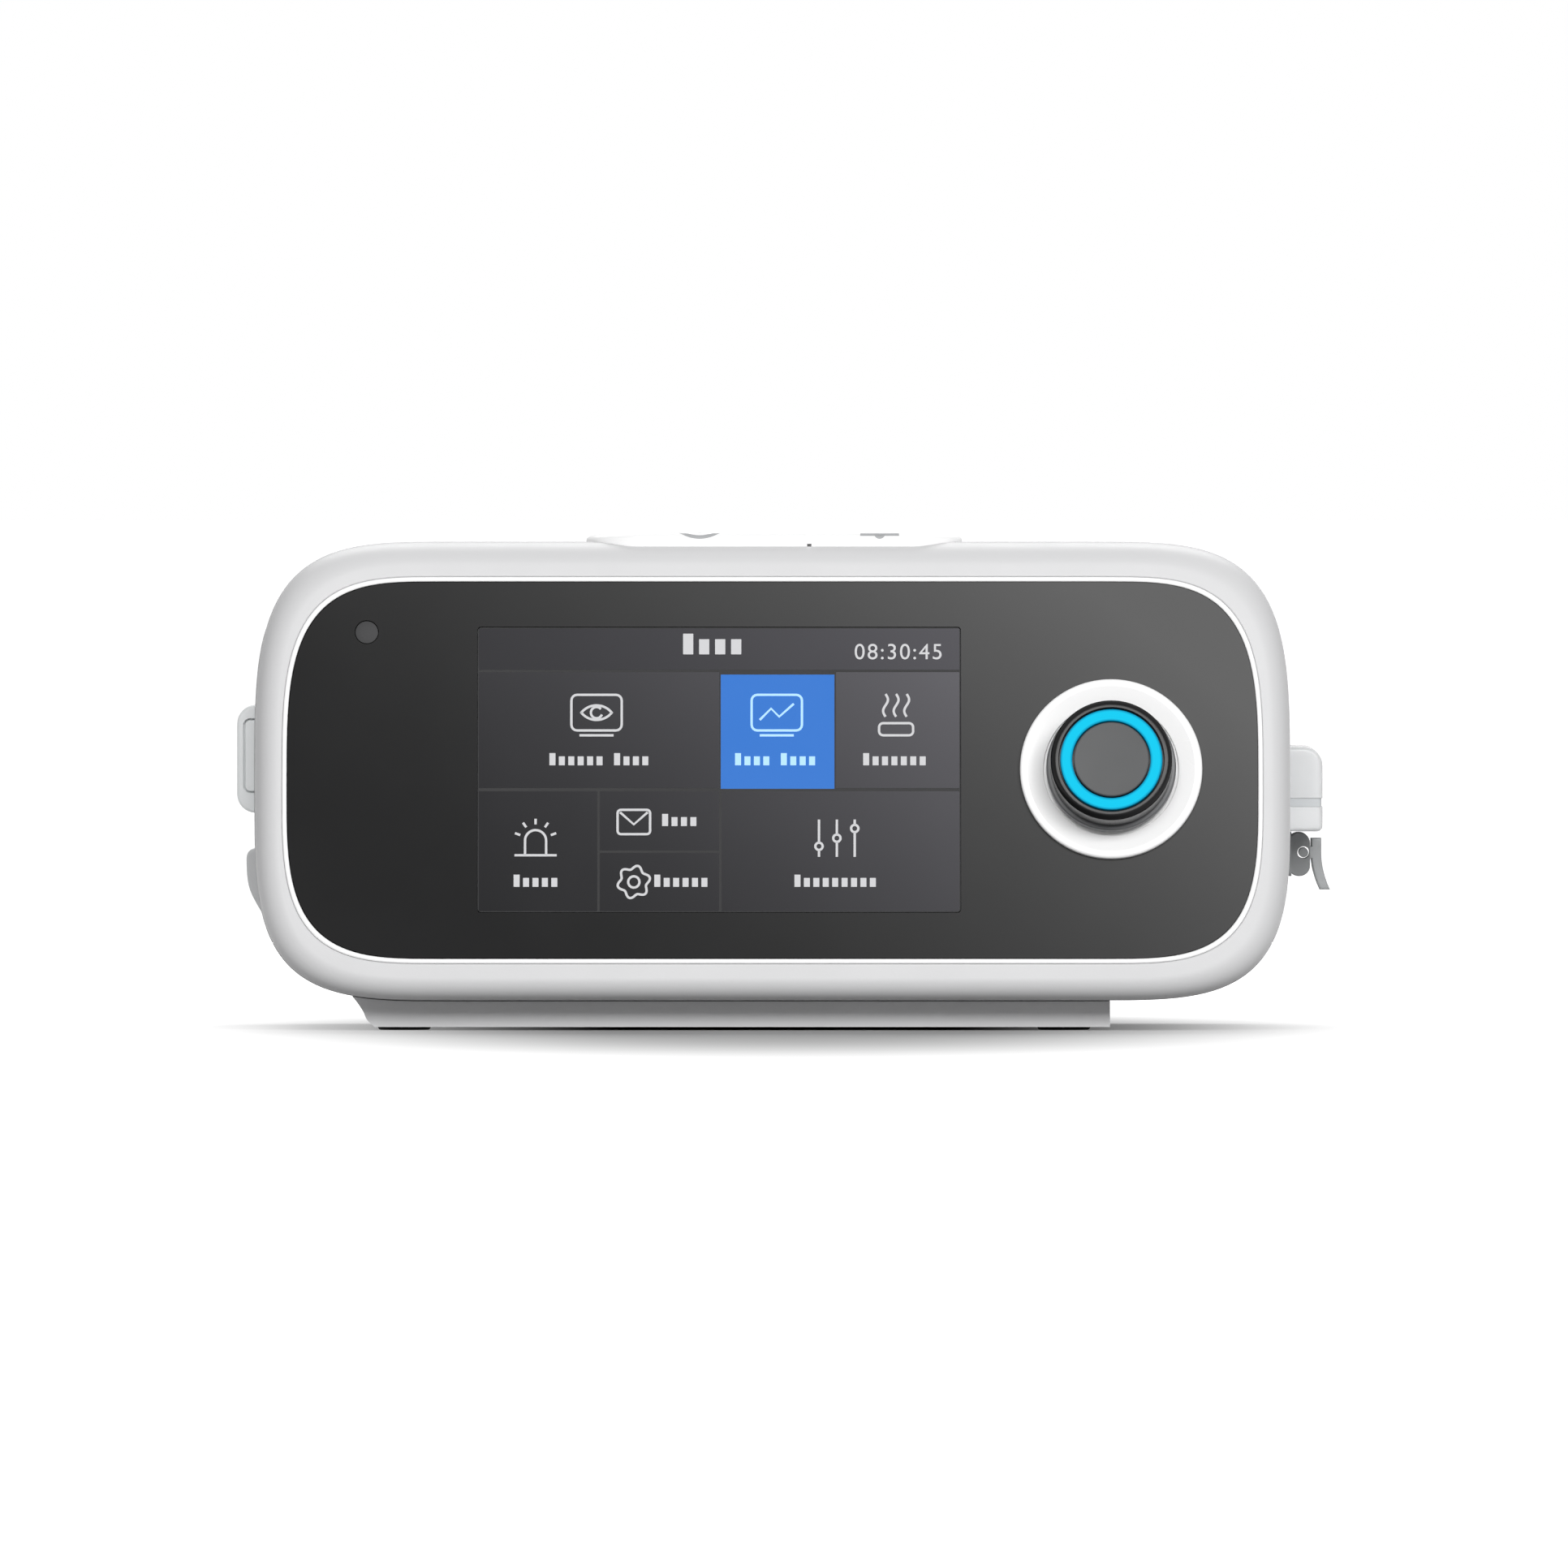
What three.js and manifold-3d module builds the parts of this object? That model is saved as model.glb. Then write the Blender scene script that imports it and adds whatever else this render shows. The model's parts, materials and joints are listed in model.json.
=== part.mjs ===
// A bedside breathing machine with a heated water tank, in millimetres, +Z up, its front towards -Y.
// The housing is a soft-cornered tube with a front that leans back. The display and the control knob sit
// on the front, two keys on top, the air filter door on the left side, and the water tank in a bay on the
// right side.
import * as THREE from "three";
import { mergeVertices } from "three/addons/utils/BufferGeometryUtils.js";
import Module from "manifold-3d";

const wasm = await Module();
wasm.setup();

// Driving sizes of the whole machine
const gap = 0.3; // between two pieces that touch
const play = 0.4; // round a piece that moves
const overrun = 1; // how far a cutter reaches past what it cuts
const housing = {
  width: 236.2,
  height: 104.5,
  depth: 150,
  underside: 6.9,
  wall: 2.4,
  cornerWidth: 46.3,
  cornerPower: 3.8,
  sideTaper: 1,
  topTaper: 4,
  backRound: 11,
  seam: 20,
};
const lowerShare = 0.46; // share of an outline's height that lies below its widest place
const quarterSteps = 10; // steps in each quarter of a soft-cornered outline
const steps = { fine: 40, medium: 28, small: 16, tiny: 12 }; // round pieces' sides
const rim = { side: 7.4, top: 9.1, bottom: 9.6 }; // the white frame's width round the front panel
const panel = {
  width: housing.width - 2 * rim.side,
  height: housing.height - rim.top - rim.bottom,
  cornerWidth: 35.2,
  cornerPower: 3.5,
  thickness: 1.6,
};
const front = {
  lean: THREE.MathUtils.degToRad(11),
  middle: housing.underside + rim.bottom + panel.height / 2,
};
const trim = { width: 1.1, proud: 0.35, ledge: 2.6 };
const bezel = {
  depth: 8,
  // insets from the skin and depths behind the front plane, from the back edge round to the face
  insets: [0.12, 0.35, 0.8, 1.6, 2.8, 4.1, 5.3],
  depths: [8, 5.4, 3.4, 1.8, 0.8, 0.25, 0],
  ledgeDepth: 4.4,
  ledgeThickness: 2,
  ledgeReach: 3.4,
};

const halfWidth = housing.width / 2;
const top = housing.underside + housing.height;
const frontY = -housing.depth / 2; // where the leaning front plane passes its middle height
const backY = housing.depth / 2;
const floor = housing.underside + housing.wall;

// Materials
const paint = (color, roughness, metalness = 0) =>
  new THREE.MeshStandardMaterial({ color, roughness, metalness });
const whitePlastic = () => paint(0xe3e3e3, 0.45);
const brightWhite = () => paint(0xf8f8f8, 0.3);
const greyPlastic = () => paint(0xb4b4b4, 0.55);
const ductPlastic = () => paint(0x8c9093, 0.5);
const blackPlastic = () => paint(0x1c1c1e, 0.4);
const rubber = () => paint(0x2b2b2b, 0.9);
const clearPlastic = () => paint(0xdde3e6, 0.15);
const latchPlastic = () => paint(0xa6a8aa, 0.3);
const steel = () => paint(0x9a9da1, 0.35, 1);
const boardGreen = () => paint(0x1f6b45, 0.5);

// Solids: only joining and cutting is done on them
function toSolid(geometry) {
  const source = geometry.clone();
  source.deleteAttribute("normal");
  source.deleteAttribute("uv");
  const merged = mergeVertices(source, 1e-4);
  return new wasm.Manifold(
    new wasm.Mesh({
      numProp: 3,
      vertProperties: new Float32Array(merged.attributes.position.array),
      triVerts: new Uint32Array(merged.index.array),
    }),
  );
}

function toGeometry(solid) {
  const mesh = solid.getMesh();
  const geometry = new THREE.BufferGeometry();
  geometry.setAttribute("position", new THREE.BufferAttribute(new Float32Array(mesh.vertProperties), 3));
  geometry.setIndex(new THREE.BufferAttribute(new Uint32Array(mesh.triVerts), 1));
  geometry.computeVertexNormals();
  return geometry;
}

const asSolid = (piece) => (piece.isBufferGeometry ? toSolid(piece) : piece);
const cut = (body, ...cutters) =>
  cutters.reduce((left, cutter) => left.subtract(asSolid(cutter)), asSolid(body));
const join = (body, ...others) => others.reduce((sum, other) => sum.add(asSolid(other)), asSolid(body));
const overlap = (a, b) => asSolid(a).intersect(asSolid(b));

// Turns a geometry's faces round if they point inwards
function facingOut(geometry) {
  const place = geometry.attributes.position;
  const index = geometry.index.array;
  const corner = [new THREE.Vector3(), new THREE.Vector3(), new THREE.Vector3()];
  let volume = 0;
  for (let i = 0; i < index.length; i += 3) {
    corner.forEach((point, k) => point.fromBufferAttribute(place, index[i + k]));
    volume += corner[0].dot(corner[1].cross(corner[2]));
  }
  if (volume < 0) {
    for (let i = 0; i < index.length; i += 3) {
      [index[i + 1], index[i + 2]] = [index[i + 2], index[i + 1]];
    }
  }
  return geometry;
}

// A box between two corners, and a box's corners moved outwards by a margin
function block(low, high) {
  const size = high.map((value, i) => value - low[i]);
  return new THREE.BoxGeometry(...size).translate(...low.map((value, i) => value + size[i] / 2));
}
const grow = (box, margin) => ({
  low: box.low.map((value) => value - margin),
  high: box.high.map((value) => value + margin),
});

// A rounded rectangle as a shape, from its low and high corner or round its middle
function roundedRectangle(left, low, right, high, radius) {
  const r = Math.min(radius, (right - left) / 2, (high - low) / 2);
  const shape = new THREE.Shape();
  shape.moveTo(left + r, low);
  shape.lineTo(right - r, low);
  shape.absarc(right - r, low + r, r, -Math.PI / 2, 0);
  shape.lineTo(right, high - r);
  shape.absarc(right - r, high - r, r, 0, Math.PI / 2);
  shape.lineTo(left + r, high);
  shape.absarc(left + r, high - r, r, Math.PI / 2, Math.PI);
  shape.lineTo(left, low + r);
  shape.absarc(left + r, low + r, r, Math.PI, Math.PI * 1.5);
  return shape;
}
const centredRectangle = (x, y, width, height, radius) =>
  roundedRectangle(x - width / 2, y - height / 2, x + width / 2, y + height / 2, radius);

// Prisms of a shape: drawn from above, from the front (x and z) or from the right side (y and z)
const arcSteps = 2;
const extrude = (shape, depth) =>
  new THREE.ExtrudeGeometry(shape, { depth, bevelEnabled: false, curveSegments: arcSteps });
const upright = (shape, low, high) => extrude(shape, high - low).translate(0, 0, low);
const alongY = (shape, near, far) => extrude(shape, far - near).rotateX(Math.PI / 2).translate(0, far, 0);
const alongX = (shape, left, right) =>
  extrude(shape, right - left).rotateY(Math.PI / 2).rotateX(Math.PI / 2).translate(left, 0, 0);

// A turned piece round +Z from pairs of radius and height that close on themselves or on the axis
function turned(profile, sides = steps.medium) {
  const points = profile.map(([radius, height]) => new THREE.Vector2(radius, height));
  return facingOut(new THREE.LatheGeometry(points, sides).rotateX(Math.PI / 2));
}
const disc = (radius, low, high, sides) =>
  turned([[0, low], [radius, low], [radius, high], [0, high]], sides);
const ring = (inner, outer, low, high, sides) =>
  turned([[inner, low], [outer, low], [outer, high], [inner, high], [inner, low]], sides);

// Skins a body over rings of equal length: a closed run joins its last ring to its first, an open one
// gets caps
const fromFront = (point) => new THREE.Vector2(point.x, point.z);
const fromAbove = (point) => new THREE.Vector2(point.x, point.y);
function loft(rings, { closed = false, seen = fromFront } = {}) {
  const count = rings[0].length;
  const index = [];
  const runs = closed ? rings.length : rings.length - 1;
  for (let r = 0; r < runs; r++) {
    const next = (r + 1) % rings.length;
    for (let i = 0; i < count; i++) {
      const j = (i + 1) % count;
      index.push(r * count + i, r * count + j, next * count + j);
      index.push(r * count + i, next * count + j, next * count + i);
    }
  }
  if (!closed) {
    const last = (rings.length - 1) * count;
    for (const [a, b, c] of THREE.ShapeUtils.triangulateShape(rings[0].map(seen), [])) {
      index.push(c, b, a);
      index.push(last + a, last + b, last + c);
    }
  }
  const geometry = new THREE.BufferGeometry();
  const places = rings.flat().flatMap((point) => [point.x, point.y, point.z]);
  geometry.setAttribute("position", new THREE.BufferAttribute(new Float32Array(places), 3));
  geometry.setIndex(index);
  return facingOut(geometry);
}

// A soft-cornered outline as x and z: straight top and bottom, and ends drawn as superellipse quarters
function softOutline(half, low, high, cornerWidth, power) {
  const widest = low + (high - low) * lowerShare;
  const points = [];
  const quarters = [[1, 1, 0, 0], [-1, 1, 0, 0], [-1, -1, 1, 0], [1, -1, 0, 1]];
  for (const [sideX, sideZ, first, dropLast] of quarters) {
    const tall = sideZ > 0 ? high - widest : widest - low;
    for (let i = first; i <= quarterSteps - dropLast; i++) {
      const turn = sideX * sideZ > 0 ? i / quarterSteps : 1 - i / quarterSteps;
      const across = Math.cos((turn * Math.PI) / 2) ** (2 / power);
      const up = Math.sin((turn * Math.PI) / 2) ** (2 / power);
      points.push({ x: sideX * (half - cornerWidth * (1 - across)), z: widest + sideZ * tall * up });
    }
  }
  return points;
}

// The housing's outline drawn in by an inset, at a share of the way from front to back
const housingOutline = (inset, backShare = 0) =>
  softOutline(
    halfWidth - inset - housing.sideTaper * backShare,
    housing.underside + inset,
    top - inset - housing.topTaper * backShare,
    housing.cornerWidth - inset,
    housing.cornerPower,
  );

// The front panel's outline as seen from the front, grown by a margin
const panelOutline = (margin) =>
  softOutline(
    panel.width / 2 + margin,
    front.middle - panel.height / 2 - margin,
    front.middle + panel.height / 2 + margin,
    panel.cornerWidth + margin,
    panel.cornerPower,
  );

// Outlines laid on a plane behind the leaning front, or on an upright plane
const leaningY = (height) => frontY + (height - front.middle) * Math.tan(front.lean);
const onFront = (outline, behind) =>
  outline.map(({ x, z }) => new THREE.Vector3(x, leaningY(z) + behind, z));
const onUpright = (outline, y) => outline.map(({ x, z }) => new THREE.Vector3(x, y, z));

// Carries geometry from the face's own frame (x across, y up the face, z out of it) to the machine's frame
const faceMatrix = new THREE.Matrix4()
  .makeTranslation(0, frontY, front.middle)
  .multiply(new THREE.Matrix4().makeRotationX(Math.PI / 2 - front.lean));
const onFace = (geometry) => geometry.applyMatrix4(faceMatrix);

// What the housing's skin encloses, drawn in by an inset, from a depth behind the front plane to the
// rounded back
const roundSteps = 3;
function housingBody(inset, frontDepth) {
  const round = housing.backRound - inset;
  const station = backY - housing.backRound;
  const rings = [onFront(housingOutline(inset), frontDepth)];
  for (let i = 0; i <= roundSteps; i++) {
    const angle = (i / roundSteps) * (Math.PI / 2);
    const drawnIn = inset + round * (1 - Math.cos(angle));
    rings.push(onUpright(housingOutline(drawnIn, 1), station + round * Math.sin(angle)));
  }
  return toSolid(loft(rings));
}

const outerBody = housingBody(0, bezel.depth + gap);
const innerBody = housingBody(housing.wall, bezel.depth - overrun);
const linedBody = housingBody(housing.wall + gap, bezel.depth + gap); // what may stand inside the wall

const root = new THREE.Group();
const machine = new THREE.Group();
root.add(machine);

function add(name, piece, material) {
  const mesh = new THREE.Mesh(piece.isBufferGeometry ? piece : toGeometry(piece), material);
  mesh.name = name;
  machine.add(mesh);
}

// Front bezel: the white frame that rounds over from the panel's edge to the housing's skin
function makeBezel() {
  const rings = bezel.insets.map((inset, i) => onFront(housingOutline(inset), bezel.depths[i]));
  const opening = trim.width + gap;
  const back = bezel.ledgeDepth + bezel.ledgeThickness;
  const inside = housing.wall + bezel.insets[0];
  rings.push(onFront(panelOutline(opening), 0));
  rings.push(onFront(panelOutline(opening), bezel.ledgeDepth));
  rings.push(onFront(panelOutline(-bezel.ledgeReach), bezel.ledgeDepth));
  rings.push(onFront(panelOutline(-bezel.ledgeReach), back));
  rings.push(onFront(housingOutline(inside), back));
  rings.push(onFront(housingOutline(inside), bezel.depth));
  return cut(loft(rings, { closed: true }), keyPocket());
}

// Panel trim: the thin bright frame round the panel, with a ledge that the panel is bonded to
function makePanelTrim() {
  const seat = panel.thickness + gap;
  const back = bezel.ledgeDepth - gap;
  const rings = [
    onFront(panelOutline(trim.width), back),
    onFront(panelOutline(trim.width), 0),
    onFront(panelOutline((trim.width + gap) / 2), -trim.proud),
    onFront(panelOutline(gap), 0),
    onFront(panelOutline(gap), seat),
    onFront(panelOutline(-trim.ledge), seat),
    onFront(panelOutline(-trim.ledge), back),
  ];
  return loft(rings, { closed: true });
}

// Places on the face, in its own frame
// The panel's width left free round the display
const displayRoom = { left: 43.4, right: 67.7, top: 9.65, bottom: 9.85 };
const display = {
  x: (displayRoom.left - displayRoom.right) / 2,
  y: (displayRoom.bottom - displayRoom.top) / 2,
  width: panel.width - displayRoom.left - displayRoom.right,
  height: panel.height - displayRoom.top - displayRoom.bottom,
  corner: 0.8,
  glass: 1.3,
};
const sensor = { insetX: 18.2, drop: 10.9, radius: 2.6, thickness: 1.4 };
const sensorX = sensor.insetX - panel.width / 2;
const sensorY = panel.height / 2 - sensor.drop;
const knobRoom = 33.5; // from the panel's right edge to the knob's axis
const knob = { x: panel.width / 2 - knobRoom, y: display.y };
const collar = {
  radius: 20.8, lip: 1.6, dishRadius: 15.4, dishDrop: 1, height: 1.7, wellDepth: 0.4, hubDepth: 4,
};
const encoder = {
  shaftRadius: 3, shaftFoot: 10.6, boreFoot: 12.6, bushingRadius: 5.1, bushingTop: 1, side: 13, height: 5.1,
  corner: 1,
};
const lcd = { margin: 3, thickness: 4.3 };
const boardRoom = { left: 32.7, right: 12.7, above: 11.9 }; // between the board's edges and the panel's
const board = {
  left: boardRoom.left - panel.width / 2,
  right: panel.width / 2 - boardRoom.right,
  reach: panel.height / 2 - boardRoom.above,
  thickness: 1.6,
  behind: 14.6,
  corner: 3,
};

const displayShape = (margin) =>
  centredRectangle(
    display.x, display.y, display.width + 2 * margin, display.height + 2 * margin, display.corner,
  );

// Front panel: the dark plate, open for the display, the knob's collar and the light sensor
function makeFrontPanel() {
  const plate = loft([onFront(panelOutline(0), 0), onFront(panelOutline(0), panel.thickness)]);
  const reach = panel.thickness + overrun;
  const window = extrude(displayShape(0), reach * 2).translate(0, 0, -reach);
  const knobHole = disc(collar.radius - collar.lip, -reach, reach, steps.medium);
  const sensorHole = disc(sensor.radius + gap, -reach, reach, steps.small);
  return cut(
    plate,
    onFace(window),
    onFace(knobHole.translate(knob.x, knob.y, 0)),
    onFace(sensorHole.translate(sensorX, sensorY, 0)),
  );
}

const makeDisplayWindow = () =>
  onFace(extrude(displayShape(-gap), display.glass).translate(0, 0, -display.glass));

const lcdBack = panel.thickness + gap + lcd.thickness;
const makeLcdModule = () =>
  onFace(extrude(displayShape(lcd.margin), lcd.thickness).translate(0, 0, -lcdBack));

const makeSensorLens = () =>
  onFace(disc(sensor.radius, -sensor.thickness, 0, steps.small).translate(sensorX, sensorY, 0));

// Front chassis: the plate behind the bezel's ledge that carries the display and, on posts, the main board
const chassis = { inset: 1.2, thickness: 2, postRadius: 3, postInset: 7, slotWidth: 60, slotHeight: 16 };
function makeFrontChassis() {
  const near = bezel.ledgeDepth + bezel.ledgeThickness + gap;
  const far = near + chassis.thickness;
  const plate = loft(
    [onFront(panelOutline(-chassis.inset), near), onFront(panelOutline(-chassis.inset), far)],
  );
  const bushingHole = disc(encoder.bushingRadius + gap, -board.behind, 0, steps.small);
  const slot = centredRectangle(
    display.x, display.y, chassis.slotWidth, chassis.slotHeight, chassis.postRadius,
  );
  const posts = [];
  for (const x of [board.left + chassis.postInset, board.right - chassis.postInset]) {
    for (const y of [chassis.postInset - board.reach, board.reach - chassis.postInset]) {
      const post = disc(chassis.postRadius, gap - board.behind, -near - overrun, steps.tiny);
      posts.push(onFace(post.translate(x, y, 0)));
    }
  }
  return cut(
    join(plate, ...posts),
    onFace(bushingHole.translate(knob.x, knob.y, 0)),
    onFace(extrude(slot, board.behind).translate(0, 0, -board.behind)),
  );
}

function makeMainBoard() {
  const shape = roundedRectangle(board.left, -board.reach, board.right, board.reach, board.corner);
  return onFace(extrude(shape, board.thickness).translate(0, 0, -board.behind - board.thickness));
}

// The knob's stack, each piece turned round the knob's own axis
const grip = { radius: 13.9, low: 4.3, high: 12.9, edge: 1.4, seat: 10.4, faceRadius: 11.95, bore: 3.3 };
const skirt = { radius: 14.8, low: 1.5, edge: 0.6 };
const lightRing = { inner: 8.9, outer: 11.65, proud: 0.1 };
const cap = { radius: 8.6, crown: 0.35, edge: 0.5 };
const onKnob = (geometry) => onFace(geometry.translate(knob.x, knob.y, 0));

function makeKnobCollar() {
  const { radius, lip, dishRadius, dishDrop, height, wellDepth, hubDepth } = collar;
  const hub = radius - lip - gap;
  const bore = encoder.bushingRadius + gap;
  const profile = [
    [bore, -hubDepth],
    [hub, -hubDepth],
    [hub, gap],
    [radius, gap],
    [radius, height - gap],
    [radius - gap, height],
    [radius - lip, height],
    [dishRadius, height - dishDrop],
    [dishRadius, -wellDepth],
    [bore, -wellDepth],
    [bore, -hubDepth],
  ];
  return onKnob(turned(profile, steps.fine));
}

function makeKnobSkirt() {
  const high = grip.low - gap;
  const profile = [
    [grip.bore, skirt.low],
    [skirt.radius, skirt.low],
    [skirt.radius, high - skirt.edge],
    [skirt.radius - skirt.edge, high],
    [grip.bore, high],
    [grip.bore, skirt.low],
  ];
  return onKnob(turned(profile, steps.fine));
}

function makeKnobGrip() {
  const { radius, low, high, edge, seat, faceRadius, bore } = grip;
  const profile = [[bore, low], [radius, low], [radius, high - edge]];
  for (const angle of [Math.PI / 6, Math.PI / 3, Math.PI / 2]) {
    profile.push([radius - edge * (1 - Math.cos(angle)), high - edge * (1 - Math.sin(angle))]);
  }
  profile.push([faceRadius, high], [faceRadius, seat], [bore, seat], [bore, low]);
  return onKnob(turned(profile, steps.fine));
}

const makeLightRing = () =>
  onKnob(ring(lightRing.inner, lightRing.outer, grip.seat + gap, grip.high + lightRing.proud, steps.fine));

function makeKnobCap() {
  const profile = [
    [0, grip.seat + gap],
    [cap.radius, grip.seat + gap],
    [cap.radius, grip.high],
    [cap.radius - cap.edge, grip.high + cap.crown],
    [0, grip.high + cap.crown],
  ];
  return onKnob(turned(profile, steps.medium));
}

const makeEncoderShaft = () =>
  onKnob(disc(encoder.shaftRadius, -encoder.shaftFoot, grip.seat - gap, steps.small));

function makeEncoderBody() {
  const low = gap - board.behind;
  const bore = encoder.shaftRadius + gap;
  const square = centredRectangle(0, 0, encoder.side, encoder.side, encoder.corner);
  const body = extrude(square, encoder.height).translate(0, 0, low);
  const bushing = disc(
    encoder.bushingRadius, low + encoder.height - overrun, -encoder.bushingTop, steps.small,
  );
  const hole = disc(bore, -encoder.boreFoot, overrun, steps.small);
  return onKnob(toGeometry(cut(join(body, bushing), hole)));
}

// Keys on top: one long pill split into two, each cap on a stem with a flange under the wall
const keys = {
  left: -42.5,
  right: 43.3,
  setback: 2.9,
  deep: 24,
  split: 8.4,
  splitWidth: 1,
  proud: 2,
  capHeight: 2.7,
  crownX: 4.8,
  crownY: 1.2,
  side: 1.1,
  travel: 0.7,
  padThickness: 2.9,
  padMargin: 4,
  stemSetback: 8,
  stemDeep: 10,
  stemInset: 14,
  flange: 1.5,
  flangeThickness: 1.2,
};
const keyNear = leaningY(top) + keys.setback;
const keyFar = keyNear + keys.deep;
const keyHigh = top + keys.proud;
const keyLow = keyHigh - keys.capHeight;
const pocketFloor = keyLow - keys.travel - gap;
const padLow = pocketFloor - keys.padThickness;
const stemNear = keyNear + keys.stemSetback;
const stemFar = stemNear + keys.stemDeep;
const stemY = (stemNear + stemFar) / 2;
const dome = { radius: 3.4, height: 1.6, boardThickness: 1.6, postRadius: 2, postInset: 3 };
const flangeHigh = padLow - gap;
const flangeLow = flangeHigh - keys.flangeThickness;
const domeHigh = flangeLow - gap;
const domeLow = domeHigh - dome.height;
const buttonBoardHigh = domeLow - gap;
const keyRanges = {
  power_button: [keys.left, keys.split - keys.splitWidth / 2],
  mute_button: [keys.split + keys.splitWidth / 2, keys.right],
};
const stemOf = ([left, right]) => ({
  low: [left + keys.stemInset, stemNear, flangeLow],
  high: [right - keys.stemInset, stemFar, keyLow + gap],
});

// The keys' common outline from above, drawn in along and across
const pillSteps = 4;
const samePlace = 0.01; // points closer than this are one
const pillShape = (alongInset, acrossInset) =>
  roundedRectangle(
    keys.left + alongInset,
    keyNear + acrossInset,
    keys.right - alongInset,
    keyFar - acrossInset,
    keys.deep,
  );
const pillRing = (alongInset, acrossInset, z) =>
  pillShape(alongInset, acrossInset)
    .getPoints(pillSteps)
    .filter((point, i, all) => point.distanceTo(all[(i + 1) % all.length]) > samePlace)
    .map((point) => new THREE.Vector3(point.x, point.y, z));
// The crown's rings as shares of crownX, crownY and the height above the shoulder
const crownShares = [[0, 0, 0], [0.12, 0.2, 0.45], [0.45, 0.55, 0.8], [1, 1, 1]];

function makeKey(range) {
  const shoulder = keyLow + keys.side;
  const rings = [pillRing(0, 0, keyLow)];
  for (const [shareX, shareY, shareZ] of crownShares) {
    const z = shoulder + (keyHigh - shoulder) * shareZ;
    rings.push(pillRing(keys.crownX * shareX, keys.crownY * shareY, z));
  }
  const pill = loft(rings, { seen: fromAbove });
  const slice = block(
    [range[0], keyNear - overrun, keyLow - overrun], [range[1], keyFar + overrun, keyHigh + overrun],
  );
  const stem = stemOf(range);
  const flange = block(
    [stem.low[0] - keys.flange, stem.low[1] - keys.flange, flangeLow],
    [stem.high[0] + keys.flange, stem.high[1] + keys.flange, flangeHigh],
  );
  return join(overlap(pill, slice), block(stem.low, stem.high), flange);
}

const keyPocket = () => upright(pillShape(-play, -play), pocketFloor, keyHigh);

// The pad under the pocket, with posts for the button board
function makeKeyPad() {
  const low = [keys.left - keys.padMargin, leaningY(padLow), padLow];
  const high = [keys.right + keys.padMargin, keyFar + keys.padMargin, top];
  const posts = [low[0] + dome.postInset, high[0] - dome.postInset].map((x) =>
    disc(dome.postRadius, buttonBoardHigh + gap, padLow + overrun, steps.tiny).translate(x, stemY, 0),
  );
  return join(overlap(block(low, high), outerBody), ...posts);
}

const makeButtonBoard = () =>
  block(
    [keys.left - keys.padMargin, stemNear, buttonBoardHigh - dome.boardThickness],
    [keys.right + keys.padMargin, stemFar, buttonBoardHigh],
  );

const makeDome = ([left, right]) =>
  disc(dome.radius, domeLow, domeHigh, steps.tiny).translate((left + right) / 2, stemY, 0);

// Filter door on the left side: a plate that follows the skin, hinged on an upright pin at its rear edge
const door = {
  near: -45,
  length: 70,
  rise: 4,
  drop: 19.8,
  corner: 8,
  proud: 0.4,
  inset: 1,
  pinInset: 2.3,
  pinSetback: 3,
  pinRadius: 1.2,
  pinRise: 11,
  pinDrop: 10.6,
  knuckleRadius: 2.4,
  knuckleInset: 9,
  sweep: 3.4,
  padWidth: 7,
  padDepth: 3.6,
};
const doorLow = housing.seam + door.rise;
const doorHigh = top - door.drop;
const doorFar = door.near + door.length;
const doorPinX = door.pinInset - halfWidth;
const doorPinY = doorFar + door.pinSetback;
const doorPinLow = doorLow + door.pinRise;
const doorPinHigh = doorHigh - door.pinDrop;
const knuckleLow = doorPinLow + door.knuckleInset;
const knuckleHigh = doorPinHigh - door.knuckleInset;
const leftReach = -halfWidth - housing.backRound; // outside everything on the left
const rightReach = halfWidth + housing.backRound + overrun; // outside everything on the right
const leftInner = -halfWidth + housing.backRound;
const doorPrism = (margin) =>
  alongX(
    roundedRectangle(
      door.near - margin, doorLow - margin, doorFar + margin, doorHigh + margin, door.corner + margin,
    ),
    leftReach,
    leftInner,
  );
const onDoorPin = (geometry) => geometry.translate(doorPinX, doorPinY, 0);
const doorPinBore = () => onDoorPin(disc(door.pinRadius + gap, doorPinLow, doorPinHigh, steps.small));

function makeFilterDoor() {
  const skin = housingBody(-door.proud, bezel.depth + gap).subtract(
    housingBody(door.inset, bezel.depth - overrun),
  );
  const plate = overlap(skin, doorPrism(0));
  const outside = -halfWidth - door.proud / 2;
  const web = block(
    [outside, doorFar - overrun, knuckleLow],
    [outside + door.inset + door.proud, doorPinY, knuckleHigh],
  );
  const knuckle = onDoorPin(disc(door.knuckleRadius, knuckleLow, knuckleHigh, steps.small));
  return cut(join(plate, web, knuckle), doorPinBore());
}

const makeDoorPin = () => onDoorPin(disc(door.pinRadius, doorPinLow + gap, doorPinHigh - gap, steps.small));

// Blocks on the inside of the wall that hold the pin's two ends
function makeDoorPads() {
  const spans = [
    [doorPinLow - door.padDepth / 2, knuckleLow - play],
    [knuckleHigh + play, doorPinHigh + door.padDepth / 2],
  ];
  return spans.map(([low, high]) =>
    overlap(
      block(
        [-halfWidth, doorPinY - door.padWidth / 2, low],
        [doorPinX + door.padDepth, doorPinY + door.padWidth / 2, high],
      ),
      outerBody,
    ),
  );
}

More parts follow.
